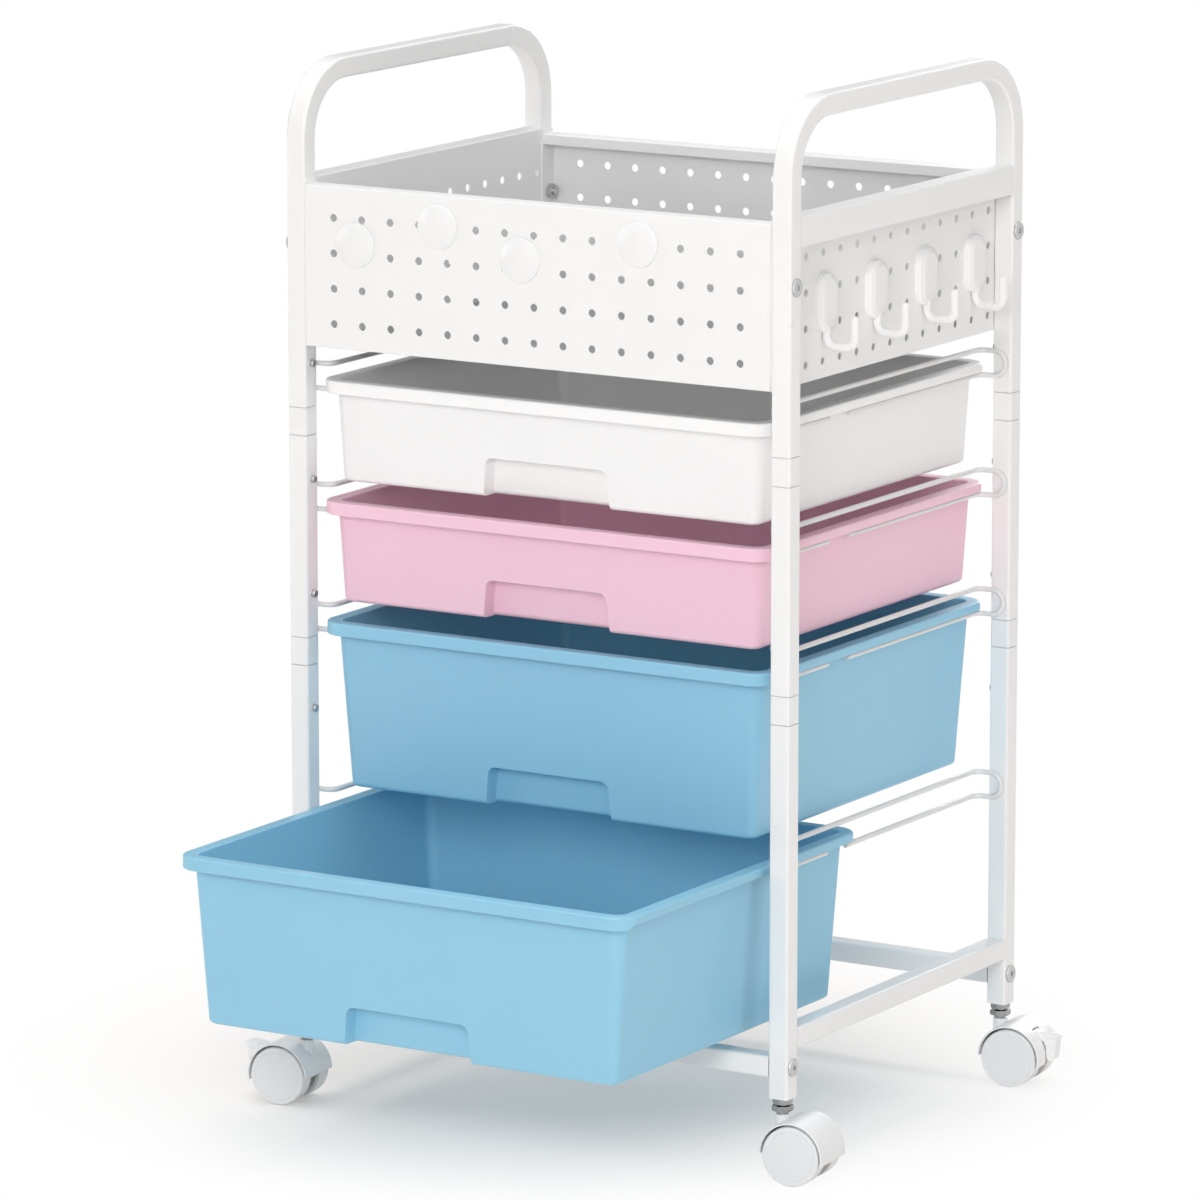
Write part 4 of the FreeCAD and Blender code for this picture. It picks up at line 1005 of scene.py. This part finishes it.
# Brake levers: white mouldings on the front left and rear right casters, with a boss on the
# pin, a thin tab to step on and a leg behind the wheels.
LEVER_HALF = 5.5
LEVER_TIP_HALF = 3.6
LEVER_TAPER_START = 29.0
LEVER_END = 38.0
TAB_FOOT = 16.5
LEVER_EDGE = 0.7
LEVER_SHARP = 50.0
LEVER_ROOT = (22.0, 14.0)
LEVER_OUTLINE = [(10.4, 13.8), (11.2, 17.6), (13.0, 20.0), (15.4, 19.6), (18.4, 19.2),
                 (21.6, 19.4), (25.0, 20.0), (28.5, 20.7), (32.0, 20.8), (35.2, 20.0),
                 (38.0, 18.2), (37.0, 17.4), (34.8, 17.0), (33.4, 15.6), (32.9, 12.0),
                 (32.6, 7.5), (32.0, 3.0), (31.2, -0.6), (29.8, -2.2), (27.4, -2.0),
                 (26.0, -0.8), (25.5, 2.0), (25.4, 7.0), (25.0, 11.0), (23.5, 12.4),
                 (18.0, 10.6), (14.0, 8.9), (11.2, 9.4), (9.9, 11.4)]

for post in BRAKED:
    outline = np.array(LEVER_OUTLINE)
    taper = smooth_step((outline[:, 0] - LEVER_TAPER_START) / (LEVER_END - LEVER_TAPER_START))
    on_tab = outline[:, 1] > TAB_FOOT
    half = LEVER_HALF + (LEVER_TIP_HALF - LEVER_HALF) * taper * on_tab
    centre = np.array((CASTER_TRAIL, WHEEL_RADIUS))
    grid = placed(post, extruded(outline + centre, half, centre + LEVER_ROOT))
    name = post + "_brake_lever"
    lever = piece(name + "_tab", [(grid, False, True)], hood_plastic, name,
                  [name])
    round_edges(lever, LEVER_EDGE, LEVER_SHARP)


# Wall hooks: glossy white mouldings. Each has an oval plate with a raised face, a peg in a hole
# of the right wall, and a round arm bent up into a J. Heights count from the top of the plate.
HOOK_WHITE = (0.900, 0.900, 0.902)
HOOK_SHADE = (0.878, 0.878, 0.881)
HOOK_ROUGHNESS = 0.20
HOOK_GRAIN = 0.05
HOOK_COUNT = 4
HOOK_PITCH = 75.0
HOOK_WIDTH = 27.0
HOOK_HEIGHT = 44.0
HOOK_CORNER = 13.0
HOOK_SECTION = ((0.0, 0.0), (0.0, 3.6), (0.25, 4.4), (0.8, 5.0), (1.6, 5.3), (2.5, 5.45),
                (3.1, 5.8), (3.7, 6.3), (4.6, 6.5))
ARM_RADIUS = 3.2
ARM_CENTRE = 3.2
ARM_REACH = 26.5
ARM_BEND = 8.0
ARM_BOTTOM = -53.8
ARM_TIP = -30.0
ARM_START = -30.5
PEG_RADIUS = 2.8
PEG_DROP = 12.0
PEG_LENGTH = 3.0
PEG_EDGE = 0.5


def rounded_loop(half_width, half_height, radius, steps=10):
    """A rounded rectangle round zero as points, anticlockwise from the lower right."""
    points = []
    for k, (side, end) in enumerate(((1, -1), (1, 1), (-1, 1), (-1, -1))):
        centre = (side * (half_width - radius), end * (half_height - radius))
        points.append(arc(centre, radius, 90 * k - 90, 90 * k, steps))
    return np.concatenate(points)


def hook_plate():
    """The oval plate: its outline drawn in and raised along its section, then closed."""
    rings = []
    for inset, height in HOOK_SECTION:
        loop = rounded_loop(HOOK_WIDTH / 2 - inset, HOOK_HEIGHT / 2 - inset, HOOK_CORNER - inset)
        rings.append(np.column_stack([np.full(len(loop), height), loop]))
    back = 0 * rings[0]
    face = back + (HOOK_SECTION[-1][1], 0, 0)
    return np.array([back, *rings, face]) - (0, 0, HOOK_HEIGHT / 2)


def bent_path(corners, bend, steps=9):
    """A path (out, up) through square corners, each rounded off by an arc of the bend radius."""
    path = [np.array(corners[0], float)]
    for before, corner, after in zip(corners, corners[1:], corners[2:]):
        come = np.subtract(corner, before) / math.dist(corner, before)
        leave = np.subtract(after, corner) / math.dist(after, corner)
        turn = np.linspace(0, math.pi / 2, steps)[:, None]
        centre = corner + bend * (leave - come)
        path.extend(centre - bend * (np.cos(turn) * leave - np.sin(turn) * come))
    path.append(np.array(corners[-1], float))
    return np.array(path)


def hook_arm(steps=20):
    """The arm: a circle carried along the J, with a round tip."""
    path = bent_path([(ARM_CENTRE, ARM_START), (ARM_CENTRE, ARM_BOTTOM),
                      (ARM_REACH, ARM_BOTTOM), (ARM_REACH, ARM_TIP - ARM_RADIUS)], ARM_BEND)
    cap = np.radians(np.linspace(15, 90, 6))
    tip = path[-1] + np.stack([0 * cap, ARM_RADIUS * np.sin(cap)], axis=1)
    radius = np.concatenate([[0.0], np.full(len(path), ARM_RADIUS), ARM_RADIUS * np.cos(cap)])
    path = np.concatenate([path[:1], path, tip])
    ahead = np.gradient(path, axis=0)
    ahead[0] = ahead[1]
    ahead = ahead / np.linalg.norm(ahead, axis=1, keepdims=True)
    side = np.stack([ahead[:, 1], -ahead[:, 0]], axis=1)[:, None, :]
    turn = np.linspace(0, 2 * math.pi, steps, endpoint=False)[None, :]
    out = path[:, None, 0] + radius[:, None] * np.cos(turn) * side[..., 0]
    up = path[:, None, 1] + radius[:, None] * np.cos(turn) * side[..., 1]
    return np.stack([out, radius[:, None] * np.sin(turn), up], axis=2)


def hook_peg():
    """The peg in the wall's hole, with its root inside the plate and a chamfered end."""
    profile = [(PEG_EDGE, 0), (PEG_EDGE, PEG_RADIUS), (PEG_EDGE - PEG_LENGTH, PEG_RADIUS),
               (-PEG_LENGTH, PEG_RADIUS - PEG_EDGE), (-PEG_LENGTH, 0)]
    return turned(profile, np.array((0, 0, -PEG_DROP)), (1, 0, 0), 24)


hook_plastic = moulded("hook_plastic", HOOK_WHITE, HOOK_SHADE, HOOK_ROUGHNESS, bump=HOOK_GRAIN)
hook_low, hook_high = corners_of("wall_hooks")
first_hook = (hook_low[0] + PEG_LENGTH, hook_low[1] + HOOK_WIDTH / 2, hook_high[2])
hook_grids = []
for count in range(HOOK_COUNT):
    top = np.array(first_hook) + (0, count * HOOK_PITCH, 0)
    for grid in (hook_plate(), hook_arm(), hook_peg()):
        hook_grids.append((top + grid, False, True))
piece("moulded_hooks", hook_grids, hook_plastic, "frame", ["wall_hooks"])


# Magnets: round white caps, flat at the back and gently domed, held on the front wall. Each
# place is across from the middle and over the wall's foot.
MAGNET_WHITE = (0.872, 0.874, 0.877)
MAGNET_SHADE = (0.848, 0.850, 0.855)
MAGNET_ROUGHNESS = 0.16
MAGNET_GRAIN = 0.03
MAGNET_PLACES = ((-155.0, 79.4), (-82.6, 98.5), (-11.2, 79.4), (89.7, 98.5))
MAGNET_RADIUS = 16.8
MAGNET_RIM = 2.0
MAGNET_DOME = 4.0
MAGNET_SHOULDER = 0.8
MAGNET_BACK_EDGE = 0.4


def magnet_profile():
    """From the middle of the back round the rim's shoulder and over the dome."""
    rise = np.linspace(0, 1, 14)[1:]
    shoulder = arc((MAGNET_RIM, MAGNET_RADIUS - MAGNET_SHOULDER), MAGNET_SHOULDER, 90, 40, 4)
    start_along, start_radius = shoulder[-1]
    radius = start_radius * np.cos(rise * math.pi / 2)
    peak = MAGNET_RIM + MAGNET_DOME - start_along
    along = start_along + peak * (1 - (radius / start_radius) ** 2)
    back = [(0, 0), (0, MAGNET_RADIUS - MAGNET_BACK_EDGE), (MAGNET_BACK_EDGE, MAGNET_RADIUS)]
    return back + [tuple(place) for place in shoulder] + list(zip(along, radius))


magnet_plastic = moulded("magnet_plastic", MAGNET_WHITE, MAGNET_SHADE, MAGNET_ROUGHNESS,
                         bump=MAGNET_GRAIN)
wall_face = corners_of("magnets")[1][1]
wall_foot = corners_of("front_wall")[0][2]
magnet_grids = []
for x, raised in MAGNET_PLACES:
    origin = np.array((x, wall_face, wall_foot + raised))
    magnet_grids.append((turned(magnet_profile(), origin, (0, -1, 0), 72), False, True))
piece("magnet_caps", magnet_grids, magnet_plastic, "frame", ["magnets"])
